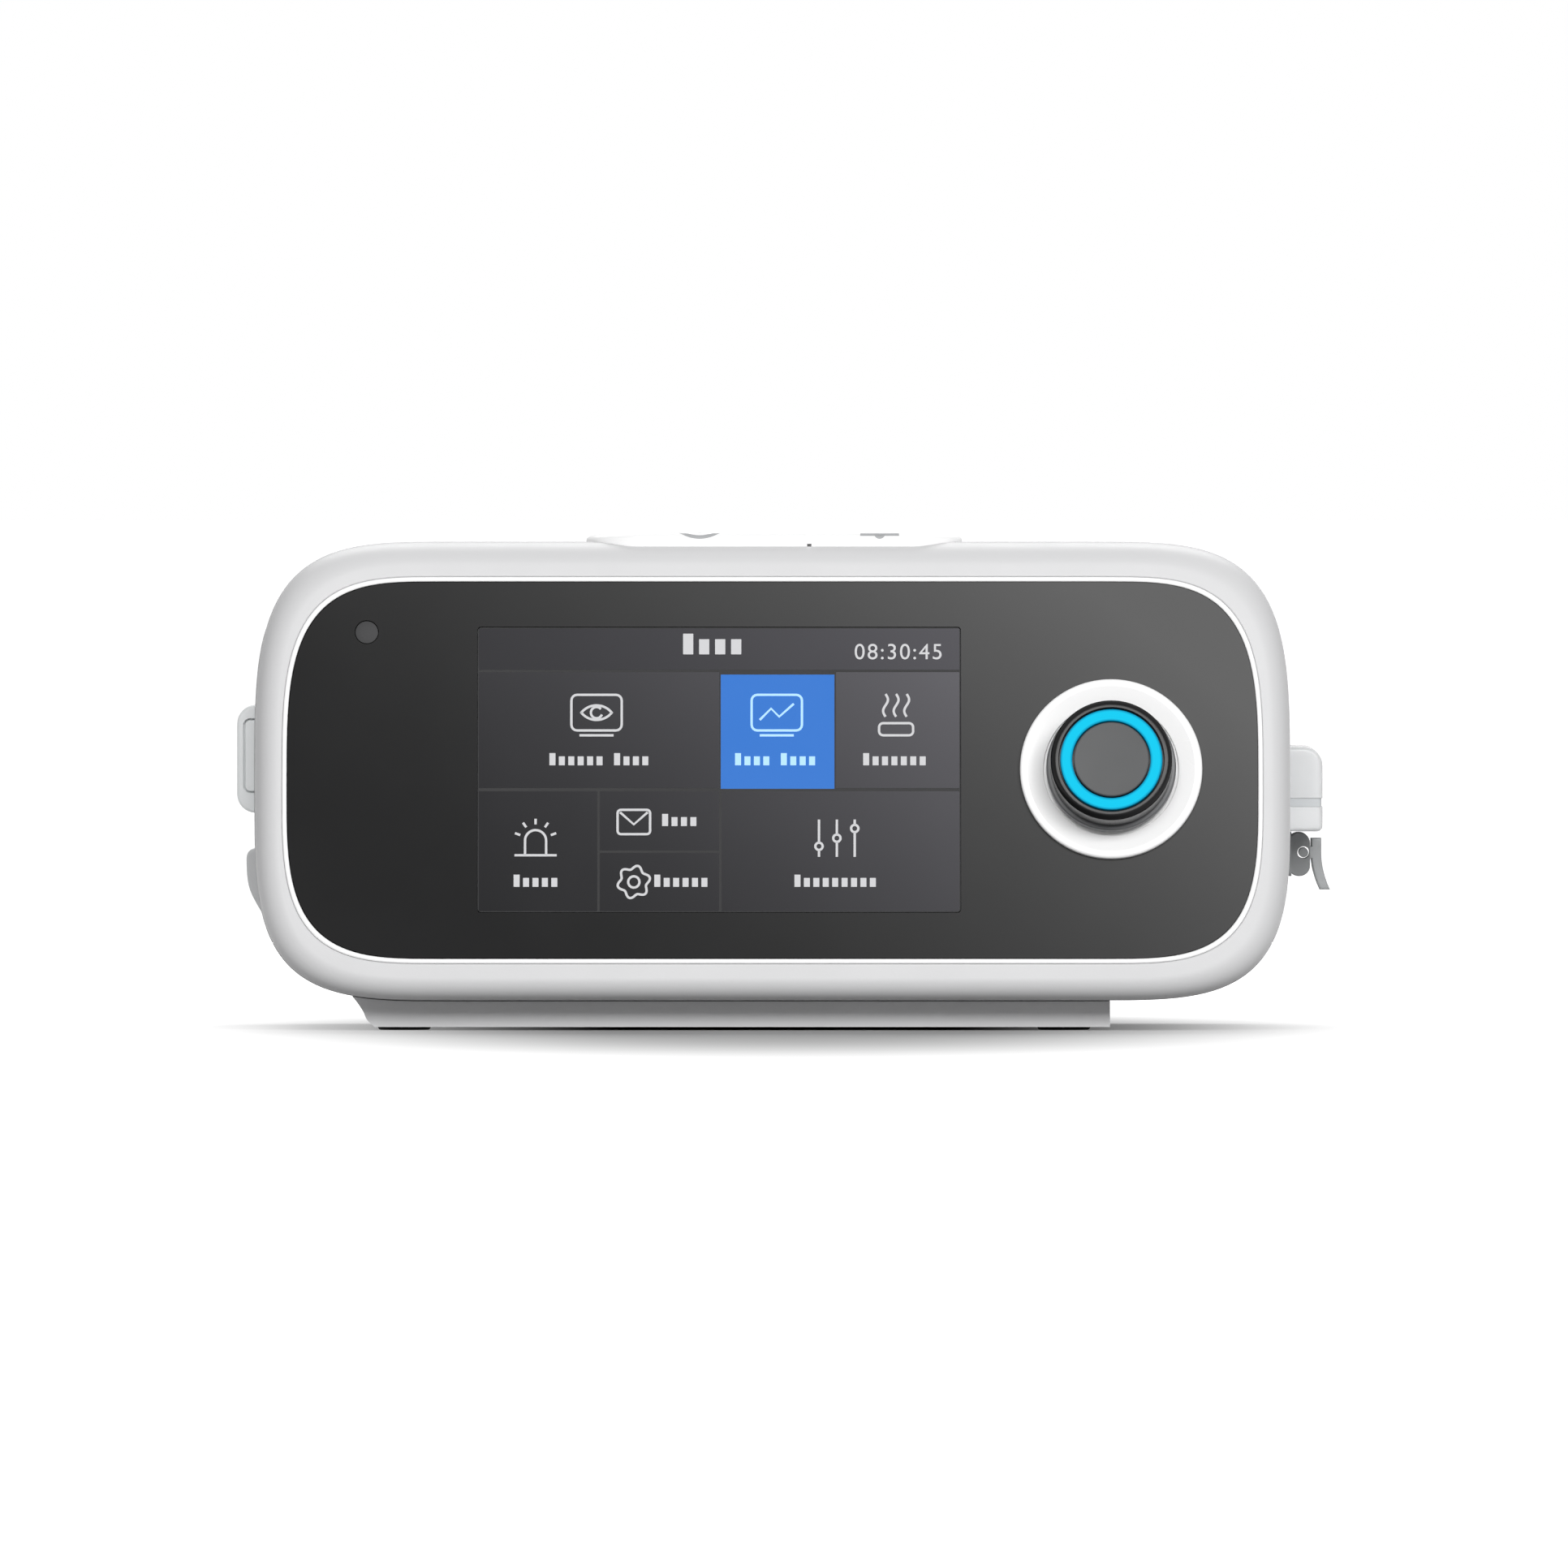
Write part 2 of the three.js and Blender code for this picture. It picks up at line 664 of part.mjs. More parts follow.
// Door pull: a raised block on the door with a sunk field in its front end
const pull = {
  rise: 25.4,
  height: 24.6,
  setback: 4,
  length: 22,
  reach: 4.2,
  corner: 3.2,
  fieldRise: 5.7,
  fieldDrop: 3,
  fieldDepth: 1.5,
  fieldReach: 1.4,
};
function makeDoorPull() {
  const inner = -halfWidth - door.proud - gap;
  const outer = -halfWidth - pull.reach;
  const low = doorLow + pull.rise;
  const high = low + pull.height;
  const near = door.near + pull.setback;
  const shape = new THREE.Shape();
  shape.moveTo(inner, low);
  shape.lineTo(inner, high);
  shape.lineTo(outer + pull.corner, high);
  shape.absarc(outer + pull.corner, high - pull.corner, pull.corner, Math.PI / 2, Math.PI);
  shape.lineTo(outer, low + pull.corner);
  shape.absarc(outer + pull.corner, low + pull.corner, pull.corner, Math.PI, Math.PI * 1.5);
  const field = block(
    [outer + pull.fieldReach, near - overrun, low + pull.fieldRise],
    [inner + overrun, near + pull.fieldDepth, high - pull.fieldDrop],
  );
  return cut(alongY(shape, near, near + pull.length), field);
}

// Port flap: a soft cover behind the door, over the accessory socket, that bends at its rear edge
const flap = {
  setback: 11,
  length: 22,
  height: 16.7,
  // how far the outer side stands out from the housing's half width at shares of the flap's height
  outer: [-1.9, 1.9, 2.7, 2.2, 0.4],
  outerShares: [0, 0.42, 0.8, 0.95, 1],
  innerHigh: 2.2,
  innerLow: 4.4,
};
const flapNear = doorFar + flap.setback;
const flapFar = flapNear + flap.length;
const flapHigh = doorLow + flap.height;
function makePortFlap() {
  const points = flap.outer.map(
    (reach, i) => new THREE.Vector2(-halfWidth - reach, doorLow + flap.height * flap.outerShares[i]),
  );
  points.push(new THREE.Vector2(flap.innerHigh - halfWidth, flapHigh));
  points.push(new THREE.Vector2(flap.innerLow - halfWidth, doorLow));
  return alongY(new THREE.Shape(points), flapNear, flapFar);
}
const flapOpening = () =>
  alongX(
    roundedRectangle(flapNear - play, doorLow - play, flapFar + play, flapHigh + play, play),
    leftReach,
    leftInner,
  );

// Accessory socket behind the flap: its flange stands against the wall, its mouth opens towards the flap
const accessory = { margin: 2, wall: 2, back: 3, depth: 13, flange: 2.4, flangeDepth: 6.6, lip: 0.8 };
function makeAccessorySocket() {
  const back = accessory.depth - halfWidth + accessory.back;
  const low = [-halfWidth, flapNear + accessory.margin, doorLow + accessory.margin];
  const high = [back, flapFar - accessory.margin, flapHigh - accessory.margin];
  const flange = block(
    [-halfWidth, flapNear - accessory.flange, doorLow - accessory.flange],
    [
      accessory.flangeDepth - halfWidth + accessory.lip,
      flapFar + accessory.flange,
      flapHigh + accessory.flange,
    ],
  );
  const body = overlap(join(block(low, high), flange), linedBody);
  const { wall } = accessory;
  const mouth = block(
    [leftReach, low[1] + wall, low[2] + wall], [back - accessory.back, high[1] - wall, high[2] - wall],
  );
  return cut(body, mouth);
}

// Air box: the filter stands at its mouth, and its floor opens over the blower's eye
const filter = { margin: 9.5, front: 3.5, thickness: 5.6, rim: 2.4, inset: 0.6 };
const airBox = { right: -20, wall: 1.8, margin: 1, eyeRadius: 15 };
// The tank's bay takes the right half of the housing, between these distances from the front and the back
const bayRoom = { near: 32, far: 22 };
const bay = {
  left: 20,
  near: frontY + bayRoom.near,
  far: backY - bayRoom.far,
  rise: 2.6,
  wall: 1.8,
  corner: 4,
  topRoom: 1.8,
};
const blowerShift = 0.95; // towards the filter, from halfway between the left side and the bay
const blower = {
  x: (bay.left - halfWidth) / 2 - blowerShift,
  y: -5,
  mountInner: 22,
  mountOuter: 31,
  mountHeight: 4.4,
  radius: 34,
  wall: 2,
  height: 18.7,
  coverThickness: 2,
  collarRadius: 18,
  collarHeight: 1.3,
  motorRadius: 13,
  motorHeight: 7,
  shaftRadius: 2,
  impellerRadius: 27,
  hubRadius: 6,
  impellerHeight: 7,
  impellerRise: 0.6,
  plate: 1.2,
  blades: 11,
  bladeThickness: 1.2,
  bladeInner: 4,
  nozzleWidth: 18,
  nozzleHeight: 15,
  nozzleRight: -12,
};
const onBlower = (geometry) => geometry.translate(blower.x, blower.y, 0);
const mountLow = floor + gap;
const baseLow = mountLow + blower.mountHeight + gap;
const baseHigh = baseLow + blower.height;
const coverHigh = baseHigh + gap + blower.coverThickness;
const collarHigh = coverHigh + blower.collarHeight;
const motorLow = baseLow + blower.wall + gap;
const motorHigh = motorLow + blower.motorHeight;
const nozzleNear = blower.y - blower.radius;
const nozzleLow = baseLow + blower.wall;
const filterFront = filter.front - halfWidth;
const filterBack = filterFront + filter.thickness;
const filterBox = grow({ low: [door.near, doorLow], high: [doorFar, doorHigh] }, -filter.margin);

const filterShape = (inset) =>
  roundedRectangle(
    filterBox.low[0] + inset,
    filterBox.low[1] + inset,
    filterBox.high[0] - inset,
    filterBox.high[1] - inset,
    filter.rim,
  );
const makeFilterFrame = () =>
  cut(
    alongX(filterShape(0), filterFront, filterBack),
    alongX(filterShape(filter.rim), filterFront - overrun, filterBack + overrun),
  );
const makeAirFilter = () =>
  alongX(filterShape(filter.rim + gap), filterFront + filter.inset, filterBack - filter.inset);

function makeInletDuct() {
  const low = [filterBack + gap, filterBox.low[0] - airBox.margin, collarHigh + gap];
  const high = [airBox.right, filterBox.high[0] + airBox.margin, filterBox.high[1] + airBox.margin];
  const inside = grow({ low, high }, -airBox.wall);
  inside.low[0] = low[0] - overrun;
  const eye = onBlower(
    disc(airBox.eyeRadius, low[2] - overrun, low[2] + airBox.wall + overrun, steps.medium),
  );
  return cut(block(low, high), block(inside.low, inside.high), eye);
}

const makeBlowerMount = () =>
  onBlower(ring(blower.mountInner, blower.mountOuter, mountLow, mountLow + blower.mountHeight));

const nozzle = {
  low: [blower.x, nozzleNear, nozzleLow],
  high: [blower.nozzleRight, nozzleNear + blower.nozzleWidth, nozzleLow + blower.nozzleHeight],
};
function makeBlowerBase() {
  const body = onBlower(disc(blower.radius, baseLow, baseHigh, steps.medium));
  const inside = onBlower(
    disc(blower.radius - blower.wall, baseLow + blower.wall, baseHigh + overrun, steps.medium),
  );
  const bore = grow(nozzle, -blower.wall);
  bore.high[0] = nozzle.high[0] + overrun;
  return cut(join(body, block(nozzle.low, nozzle.high)), inside, block(bore.low, bore.high));
}

function makeBlowerCover() {
  const low = baseHigh + gap;
  const eye = airBox.eyeRadius;
  const profile = [
    [eye, low],
    [blower.radius, low],
    [blower.radius, coverHigh],
    [blower.collarRadius, coverHigh],
    [blower.collarRadius, collarHigh],
    [eye, collarHigh],
    [eye, low],
  ];
  return onBlower(turned(profile, steps.medium));
}

function makeBlowerMotor() {
  const shaftHigh = motorHigh + blower.impellerHeight;
  const { motorRadius, shaftRadius } = blower;
  const profile = [
    [0, motorLow],
    [motorRadius, motorLow],
    [motorRadius, motorHigh],
    [shaftRadius, motorHigh],
    [shaftRadius, shaftHigh],
    [0, shaftHigh],
  ];
  return onBlower(turned(profile, steps.medium));
}

function makeImpeller() {
  const low = motorHigh + blower.impellerRise;
  const high = low + blower.impellerHeight;
  const bore = blower.shaftRadius + gap;
  const profile = [
    [bore, low],
    [blower.impellerRadius, low],
    [blower.impellerRadius, low + blower.plate],
    [blower.hubRadius, low + blower.plate],
    [blower.hubRadius, high],
    [bore, high],
    [bore, low],
  ];
  const blades = [];
  for (let i = 0; i < blower.blades; i++) {
    const blade = block(
      [blower.bladeInner, -blower.bladeThickness / 2, low + blower.plate / 2],
      [blower.impellerRadius - gap, blower.bladeThickness / 2, high],
    );
    blades.push(onBlower(blade.rotateZ((i / blower.blades) * Math.PI * 2)));
  }
  return join(onBlower(turned(profile, steps.medium)), ...blades);
}

// Water tank and its bay on the right: heights run up from the bay's floor through the heater to the lid
const heaterRoom = { left: 14, right: 26.1, ends: 17 }; // between the heater and the bay or the side
const heater = {
  left: bay.left + heaterRoom.left,
  right: halfWidth - heaterRoom.right,
  near: bay.near + heaterRoom.ends,
  far: bay.far - heaterRoom.ends,
  corner: 8,
  thickness: 4.4,
  proud: 1.7,
};
const basePlate = { thickness: 1, margin: 3 };
const tank = {
  play: 0.6,
  wall: 2.2,
  tubHeight: 33.6,
  sealThickness: 1.4,
  lidHeight: 12.8,
  lidWall: 2,
  reach: 7.7,
  handleInset: 18,
  handleRoot: 7,
  handleDrop: 1,
  handleCorner: 3,
  flangeHeight: 5.6,
  runnerWidth: 4,
  runnerInset: 18.1,
  corner: 6,
};
const bayLow = floor + bay.rise;
const heaterTop = bayLow + bay.wall + heater.proud;
const basePlateLow = heaterTop + gap;
const tubLow = basePlateLow + basePlate.thickness + gap;
const tubHigh = tubLow + tank.tubHeight;
const sealLow = tubHigh + gap;
const sealHigh = sealLow + tank.sealThickness;
const lidLow = sealHigh + gap;
const lidHigh = lidLow + tank.lidHeight;
const bayHigh = lidHigh + bay.topRoom + bay.wall;
const bayInside = grow(
  { low: [bay.left, bay.near, bayLow], high: [halfWidth, bay.far, bayHigh] }, -bay.wall,
);
const tankLeft = bayInside.low[0] + tank.play;
const tankNear = bayInside.low[1] + tank.play;
const tankFar = bayInside.high[1] - tank.play;
const handleNear = bay.near + tank.handleInset;
const handleFar = bay.far - tank.handleInset;
const handleX = halfWidth + tank.reach;
const handleHigh = lidHigh - tank.handleDrop;
const handleLow = tubHigh - tank.flangeHeight;

// The two air ports through the tank's inner end
const portRoom = { dry: 13, wet: 17 }; // between the ports' middles and the bay's ends
const port = {
  dryY: bay.near + portRoom.dry,
  wetY: bay.far - portRoom.wet,
  width: 22,
  height: 8,
  corner: 3,
};
const portHeight = (lidLow + lidHigh) / 2;
const ports = (left, right) =>
  [port.dryY, port.wetY].map((y) =>
    alongX(centredRectangle(y, portHeight, port.width, port.height, port.corner), left, right),
  );

const heaterShape = (margin) =>
  roundedRectangle(
    heater.left - margin,
    heater.near - margin,
    heater.right + margin,
    heater.far + margin,
    heater.corner,
  );

function makeTankBay() {
  const body = upright(
    roundedRectangle(bay.left, bay.near, rightReach, bay.far, bay.corner), bayLow, bayHigh,
  );
  const inside = block(bayInside.low, [rightReach + overrun, bayInside.high[1], bayInside.high[2]]);
  const heaterHole = upright(heaterShape(gap), bayLow - overrun, bayLow + bay.wall + overrun);
  return cut(overlap(body, linedBody), inside, heaterHole, ...ports(bay.left - overrun, tankLeft));
}

const makeHeaterPlate = () => upright(heaterShape(0), heaterTop - heater.thickness, heaterTop);
const makeTankBasePlate = () =>
  upright(heaterShape(-basePlate.margin), basePlateLow, basePlateLow + basePlate.thickness);

// The tank's outline from above, drawn in by an inset, between two heights
const tankBlock = (inset, low, high) =>
  upright(
    roundedRectangle(tankLeft + inset, tankNear + inset, rightReach, tankFar - inset, tank.corner),
    low,
    high,
  );
const skinBody = (inset) => housingBody(inset, bezel.depth);
const handleBlock = (low, high, inset = 0) =>
  block(
    [halfWidth - tank.handleRoot, handleNear + inset, low],
    [handleX - inset, handleFar - inset, high],
  );

function makeWaterTub() {
  const outside = overlap(tankBlock(0, tubLow, tubHigh), skinBody(0));
  const inside = overlap(tankBlock(tank.wall, tubLow + tank.wall, tubHigh + overrun), skinBody(tank.wall));
  const runners = [tankNear, tankFar - tank.runnerWidth].map((y) =>
    block(
      [tankLeft + tank.corner, y, bayInside.low[2] + gap],
      [halfWidth - tank.runnerInset, y + tank.runnerWidth, tubLow + overrun],
    ),
  );
  return join(cut(join(outside, handleBlock(handleLow, tubHigh)), inside), ...runners);
}

function makeLidSeal() {
  const outside = overlap(tankBlock(gap, sealLow, sealHigh), skinBody(gap));
  const inside = overlap(tankBlock(tank.wall, sealLow - overrun, sealHigh + overrun), skinBody(tank.wall));
  return cut(join(outside, handleBlock(sealLow, sealHigh, gap)), inside);
}

function makeTankLid() {
  const body = overlap(tankBlock(0, lidLow, lidHigh), skinBody(0));
  const left = halfWidth - tank.handleRoot;
  const shape = roundedRectangle(left, lidLow - tank.handleCorner, handleX, handleHigh, tank.handleCorner);
  const handle = overlap(alongY(shape, handleNear, handleFar), handleBlock(lidLow, handleHigh));
  const inside = overlap(
    tankBlock(tank.lidWall, lidLow - overrun, lidHigh - tank.lidWall), skinBody(tank.lidWall),
  );
  const insideHandle = block(
    [left - overrun, handleNear + tank.lidWall, lidLow - overrun],
    [handleX - tank.lidWall, handleFar - tank.lidWall, handleHigh - tank.lidWall],
  );
  return cut(
    join(body, handle),
    inside,
    insideHandle,
    ...ports(tankLeft - overrun, tankLeft + tank.wall + overrun),
  );
}

// Latch on the tank's outer end: a bracket with two ears, a pin and a curved lever
const latch = {
  length: 22,
  height: 10,
  plate: 0.8,
  earReach: 1.5,
  earWidth: 2.4,
  earCorner: 2,
  pinReach: 3.5,
  pinDrop: 5,
  pinRadius: 1.1,
  hubRadius: 2.2,
  thickness: 2.4,
  leverDrop: 1.7,
  leverHeight: 11.8,
  leverReach: 5.2,
  tipReach: 7.2,
  webHeight: 2.6,
};
const latchSkinShare = 0.35; // how much of the side's taper has passed at the latch
const latchNear = (handleNear + handleFar - latch.length) / 2;
const latchFar = latchNear + latch.length;
const latchHigh = handleLow - play;
const latchLow = latchHigh - latch.height;
const latchInner = halfWidth - housing.sideTaper * latchSkinShare + gap;
const latchPinX = halfWidth + latch.pinReach;
const latchPinZ = handleLow - latch.pinDrop;
const onLatchPin = (geometry) => geometry.rotateX(-Math.PI / 2).translate(latchPinX, 0, latchPinZ);
const latchBore = () =>
  onLatchPin(disc(latch.pinRadius + gap, latchNear - overrun, latchFar + overrun, steps.small));

function makeLatchBracket() {
  const plate = block([latchInner, latchNear, latchLow], [latchInner + latch.plate, latchFar, latchHigh]);
  const earShape = roundedRectangle(
    latchInner, latchLow, latchPinX + latch.earReach, latchHigh, latch.earCorner,
  );
  const ears = [latchNear, latchFar - latch.earWidth].map((y) => alongY(earShape, y, y + latch.earWidth));
  return cut(join(plate, ...ears), latchBore());
}

const makeLatchPin = () => onLatchPin(disc(latch.pinRadius, latchNear, latchFar, steps.small));

function makeLatchLever() {
  const near = latchNear + latch.earWidth + play;
  const far = latchFar - latch.earWidth - play;
  const hub = onLatchPin(disc(latch.hubRadius, near, far, steps.small));
  const inner = halfWidth + latch.leverReach;
  const tip = halfWidth + latch.tipReach;
  const high = handleLow - latch.leverDrop;
  const low = high - latch.leverHeight;
  const bend = (latchPinZ + low) / 2;
  const shape = new THREE.Shape();
  shape.moveTo(inner, high);
  shape.lineTo(inner, latchPinZ);
  shape.quadraticCurveTo(inner, bend, tip, low);
  shape.lineTo(tip + latch.thickness, low);
  shape.quadraticCurveTo(inner + latch.thickness, bend, inner + latch.thickness, latchPinZ);
  shape.lineTo(inner + latch.thickness, high);
  const web = block(
    [latchPinX, near, latchPinZ - latch.webHeight / 2],
    [inner + latch.thickness / 2, far, latchPinZ + latch.webHeight / 2],
  );
  return cut(join(alongY(shape, near, far), web, hub), latchBore());
}

// Air ducts: a riser from the blower to the tank dock, the dock, and a chamber from there to the hose port
const dock = { left: 9, endMargin: 3, margin: 3 };
const riser = { wall: 1.8 };
const dockLow = portHeight - port.height / 2 - dock.margin;
const dockHigh = portHeight + port.height / 2 + dock.margin;
const makeTankDock = () =>
  cut(
    block(
      [dock.left, port.dryY - port.width / 2 - dock.endMargin, dockLow],
      [bay.left - gap, port.wetY + port.width / 2 + dock.endMargin, dockHigh],
    ),
    ...ports(dock.left - overrun, bay.left),
  );

function makeOutletDuct() {
  const low = [nozzle.high[0] + gap, nozzle.low[1], nozzle.low[2]];
  const high = [dock.left - gap, nozzle.high[1], dockHigh];
  const inside = grow({ low, high }, -riser.wall);
  const mouth = grow(nozzle, -blower.wall);
  const entry = block(
    [low[0] - overrun, mouth.low[1], mouth.low[2]],
    [inside.high[0], mouth.high[1], mouth.high[2]],
  );
  const exit = block(
    [inside.low[0], inside.low[1], portHeight - port.height / 2],
    [high[0] + overrun, inside.high[1], portHeight + port.height / 2],
  );
  return cut(block(low, high), block(inside.low, inside.high), entry, exit);
}

const hose = {
  x: -3,
  drop: 35.4,
  bore: 9.2,
  collar: 13.5,
  collarLength: 6,
  neck: 11.6,
  neckLength: 1,
  tip: 11.1,
  length: 22,
};
const hoseZ = top - hose.drop;
// Between the rear panel and the housing's outline
const rearRoom = { left: 43.1, right: 73.1, low: 25.1, high: 17.4 };
const rear = {
  left: rearRoom.left - halfWidth,
  right: halfWidth - rearRoom.right,
  low: housing.underside + rearRoom.low,
  high: top - rearRoom.high,
  corner: 8,
  thickness: 2.4,
  slots: 6,
  slotWidth: 2.2,
  slotPitch: 4.6,
  slotInset: 41,
  slotRise: 8,
  slotHeight: 18,
};
const chamberLength = 36; // from the bay's far end
const chamber = { near: bay.far - chamberLength, low: 50, drop: 19.4, left: -18 };
const rearInner = backY - rear.thickness;
const collarFar = rearInner - gap;
const hoseInner = collarFar - hose.collarLength;
const onHose = (geometry) => geometry.rotateX(-Math.PI / 2).translate(hose.x, 0, hoseZ);

function makeHoseDuct() {
  const low = [chamber.left, chamber.near, chamber.low];
  const high = [dock.left - gap, hoseInner - gap, top - chamber.drop];
  const inside = grow({ low, high }, -riser.wall);
  const entry = alongX(
    centredRectangle(port.wetY, portHeight, port.width, port.height, port.corner),
    inside.low[0],
    high[0] + overrun,
  );
  const exit = onHose(disc(hose.bore, inside.low[1], high[1] + overrun, steps.medium));
  return cut(block(low, high), block(inside.low, inside.high), entry, exit);
}

function makeHosePort() {
  const end = backY + hose.length;
  const profile = [
    [hose.bore, hoseInner],
    [hose.collar, hoseInner],
    [hose.collar, collarFar],
    [hose.neck, collarFar],
    [hose.neck, backY + hose.neckLength],
    [hose.tip, end],
    [hose.bore, end],
    [hose.bore, hoseInner],
  ];
  return onHose(turned(profile, steps.medium));
}

// Power socket in the rear panel, its mouth towards +Y, with two pins
const socketRoom = 20; // from the rear panel's left and lower edges to the socket's middle
const socket = {
  x: rear.left + socketRoom,
  z: rear.low + socketRoom,
  width: 16,
  height: 13,
  depth: 15,
  flange: 2,
  flangeThickness: 1.5,
  wall: 2,
  back: 3,
  pinWidth: 1.6,
  pinHeight: 3.2,
  pinLength: 4,
  pinSpacing: 5,
};
const socketShape = (margin) =>
  centredRectangle(socket.x, socket.z, socket.width + 2 * margin, socket.height + 2 * margin, socket.wall);
const socketFace = backY + gap + socket.flangeThickness;
const socketInner = backY - socket.depth;
function makePowerSocket() {
  const body = alongY(socketShape(0), socketInner, socketFace);
  const flange = alongY(socketShape(socket.flange), backY + gap, socketFace);
  const seat = socketInner + socket.back;
  const mouth = alongY(socketShape(-socket.wall), seat, socketFace + overrun);
  const pins = [-1, 1].map((side) => {
    const x = socket.x + (side * socket.pinSpacing) / 2;
    return block(
      [x - socket.pinWidth / 2, seat - overrun, socket.z - socket.pinHeight / 2],
      [x + socket.pinWidth / 2, seat + socket.pinLength, socket.z + socket.pinHeight / 2],
    );
  });
  return join(cut(join(body, flange), mouth), ...pins);
}

const rearShape = (margin) =>
  roundedRectangle(
    rear.left - margin, rear.low - margin, rear.right + margin, rear.high + margin, rear.corner,
  );
function makeRearPanel() {
  const slots = [];
  for (let i = 0; i < rear.slots; i++) {
    const x = rear.left + rear.slotInset + i * rear.slotPitch;
    const low = rear.low + rear.slotRise;
    const shape = roundedRectangle(x, low, x + rear.slotWidth, low + rear.slotHeight, rear.slotWidth);
    slots.push(alongY(shape, rearInner - overrun, backY + overrun));
  }
  return cut(
    alongY(rearShape(0), rearInner, backY),
    onHose(disc(hose.neck + gap, rearInner - overrun, backY + overrun, steps.medium)),
    alongY(socketShape(gap), rearInner - overrun, backY + overrun),
    ...slots,
  );
}

// Base: a plinth that follows the housing's underside, four rubber feet, and four screws into the
// lower shell
// Between the plinth and the housing's sides
const plinthRoom = { left: 23.6, right: 41.1, near: 9, far: 11 };
const plinth = {
  left: plinthRoom.left - halfWidth,
  right: halfWidth - plinthRoom.right,
  near: frontY + plinthRoom.near,
  far: backY - plinthRoom.far,
  corner: 8,
  low: 0.75,
  high: 10.4,
  flare: 6.5,
  tuck: 1.7,
};
// The left end's curve as shares of the flare and of the plinth's height
const flareShares = { x: [1, 0.52, 0.17, 0], z: [1, 0.72, 0.4, 0.17] };
const foot = { radius: 6, height: 2, inset: 10.5 };
const screw = {
  headRadius: 2.6,
  headLow: 2.6,
  headHeight: 1.6,
  shankRadius: 1.4,
  high: 15,
  insetX: 24.5,
  insetNear: 16,
  insetFar: 6,
};
const boss = { radius: 4, cap: 2 };
const footPlaces = [plinth.left + foot.inset, plinth.right - foot.inset].flatMap((x) =>
  [plinth.near + foot.inset, plinth.far - foot.inset].map((y) => [x, y]),
);
const screwPlaces = [plinth.left + screw.insetX, plinth.right - screw.insetX].flatMap((x) =>
  [plinth.near + screw.insetNear, plinth.far - screw.insetFar].map((y) => [x, y]),
);

function makeScrew([x, y]) {
  const { headRadius, headLow, headHeight, shankRadius, high } = screw;
  const profile = [
    [0, headLow],
    [headRadius, headLow],
    [headRadius, headLow + headHeight],
    [shankRadius, headLow + headHeight],
    [shankRadius, high],
    [0, high],
  ];
  return turned(profile, steps.tiny).translate(x, y, 0);
}

function makePlinth() {
  const height = plinth.high - plinth.low;
  const points = flareShares.x.map(
    (share, i) =>
      new THREE.Vector2(plinth.left - plinth.flare * share, plinth.low + height * flareShares.z[i]),
  );
  points.push(new THREE.Vector2(plinth.left + plinth.tuck, plinth.low));
  points.push(new THREE.Vector2(plinth.right, plinth.low));
  points.push(new THREE.Vector2(plinth.right, plinth.high));
  const fromSide = alongY(new THREE.Shape(points), plinth.near, plinth.far);
  const plan = roundedRectangle(
    plinth.left - plinth.flare,
    plinth.near,
    plinth.right + plinth.corner,
    plinth.far,
    plinth.corner,
  );
  const footHoles = footPlaces.map(
    ([x, y]) => disc(foot.radius + gap, 0, foot.height + gap, steps.small).translate(x, y, 0),
  );
  const screwHoles = screwPlaces.flatMap(([x, y]) => [
    disc(screw.headRadius + gap, 0, screw.headLow + screw.headHeight + gap, steps.small).translate(x, y, 0),
    disc(screw.shankRadius + gap, 0, plinth.high, steps.tiny).translate(x, y, 0),
  ]);
  const rounded = overlap(fromSide, upright(plan, 0, plinth.high + overrun));
  return cut(rounded, housingBody(-gap, 0), ...footHoles, ...screwHoles);
}

// The opening in the right side that the tank slides through
function bayMouth() {
  const { low, high } = grow(bayInside, play);
  const shape = roundedRectangle(low[1], low[2], high[1], high[2], play);
  return alongX(shape, halfWidth - housing.cornerWidth / 2, rightReach);
}

// Shells
function makeUpperShell() {
  const above = block(
    [leftReach, -housing.depth, housing.seam + gap / 2], [rightReach, housing.depth, top + overrun],
  );
  const tube = outerBody.subtract(innerBody);
  const shell = join(overlap(tube, above), makeKeyPad(), ...makeDoorPads());
  const stems = Object.values(keyRanges).map((range) => {
    const hole = grow(stemOf(range), play);
    return block([hole.low[0], hole.low[1], padLow - overrun], [hole.high[0], hole.high[1], top]);
  });
  const knuckleRoom = onDoorPin(disc(door.sweep, knuckleLow - play, knuckleHigh + play, steps.small));
  const webRoom = block(
    [leftReach, doorFar - overrun, knuckleLow - play], [doorPinX, doorPinY, knuckleHigh + play],
  );
  return cut(
    shell,
    keyPocket(),
    ...stems,
    cut(doorPrism(play), housingBody(door.inset + play, 0)),
    alongX(filterShape(-airBox.margin), leftReach, leftInner),
    doorPinBore(),
    knuckleRoom,
    webRoom,
    flapOpening(),
    alongY(rearShape(gap), rearInner - overrun, backY + overrun),
    bayMouth(),
  );
}

function makeLowerShell() {
  const below = block([leftReach, -housing.depth, 0], [rightReach, housing.depth, housing.seam - gap / 2]);
  const shell = overlap(outerBody.subtract(innerBody), below);
  const bossHigh = screw.high + boss.cap;
  const bosses = screwPlaces.map(
    ([x, y]) => disc(boss.radius, floor - overrun, bossHigh, steps.small).translate(x, y, 0),
  );
  const holes = screwPlaces.map(([x, y]) =>
    disc(screw.shankRadius + gap, 0, screw.high + gap, steps.tiny).translate(x, y, 0),
  );
  return cut(join(shell, ...bosses), bayMouth(), ...holes);
}

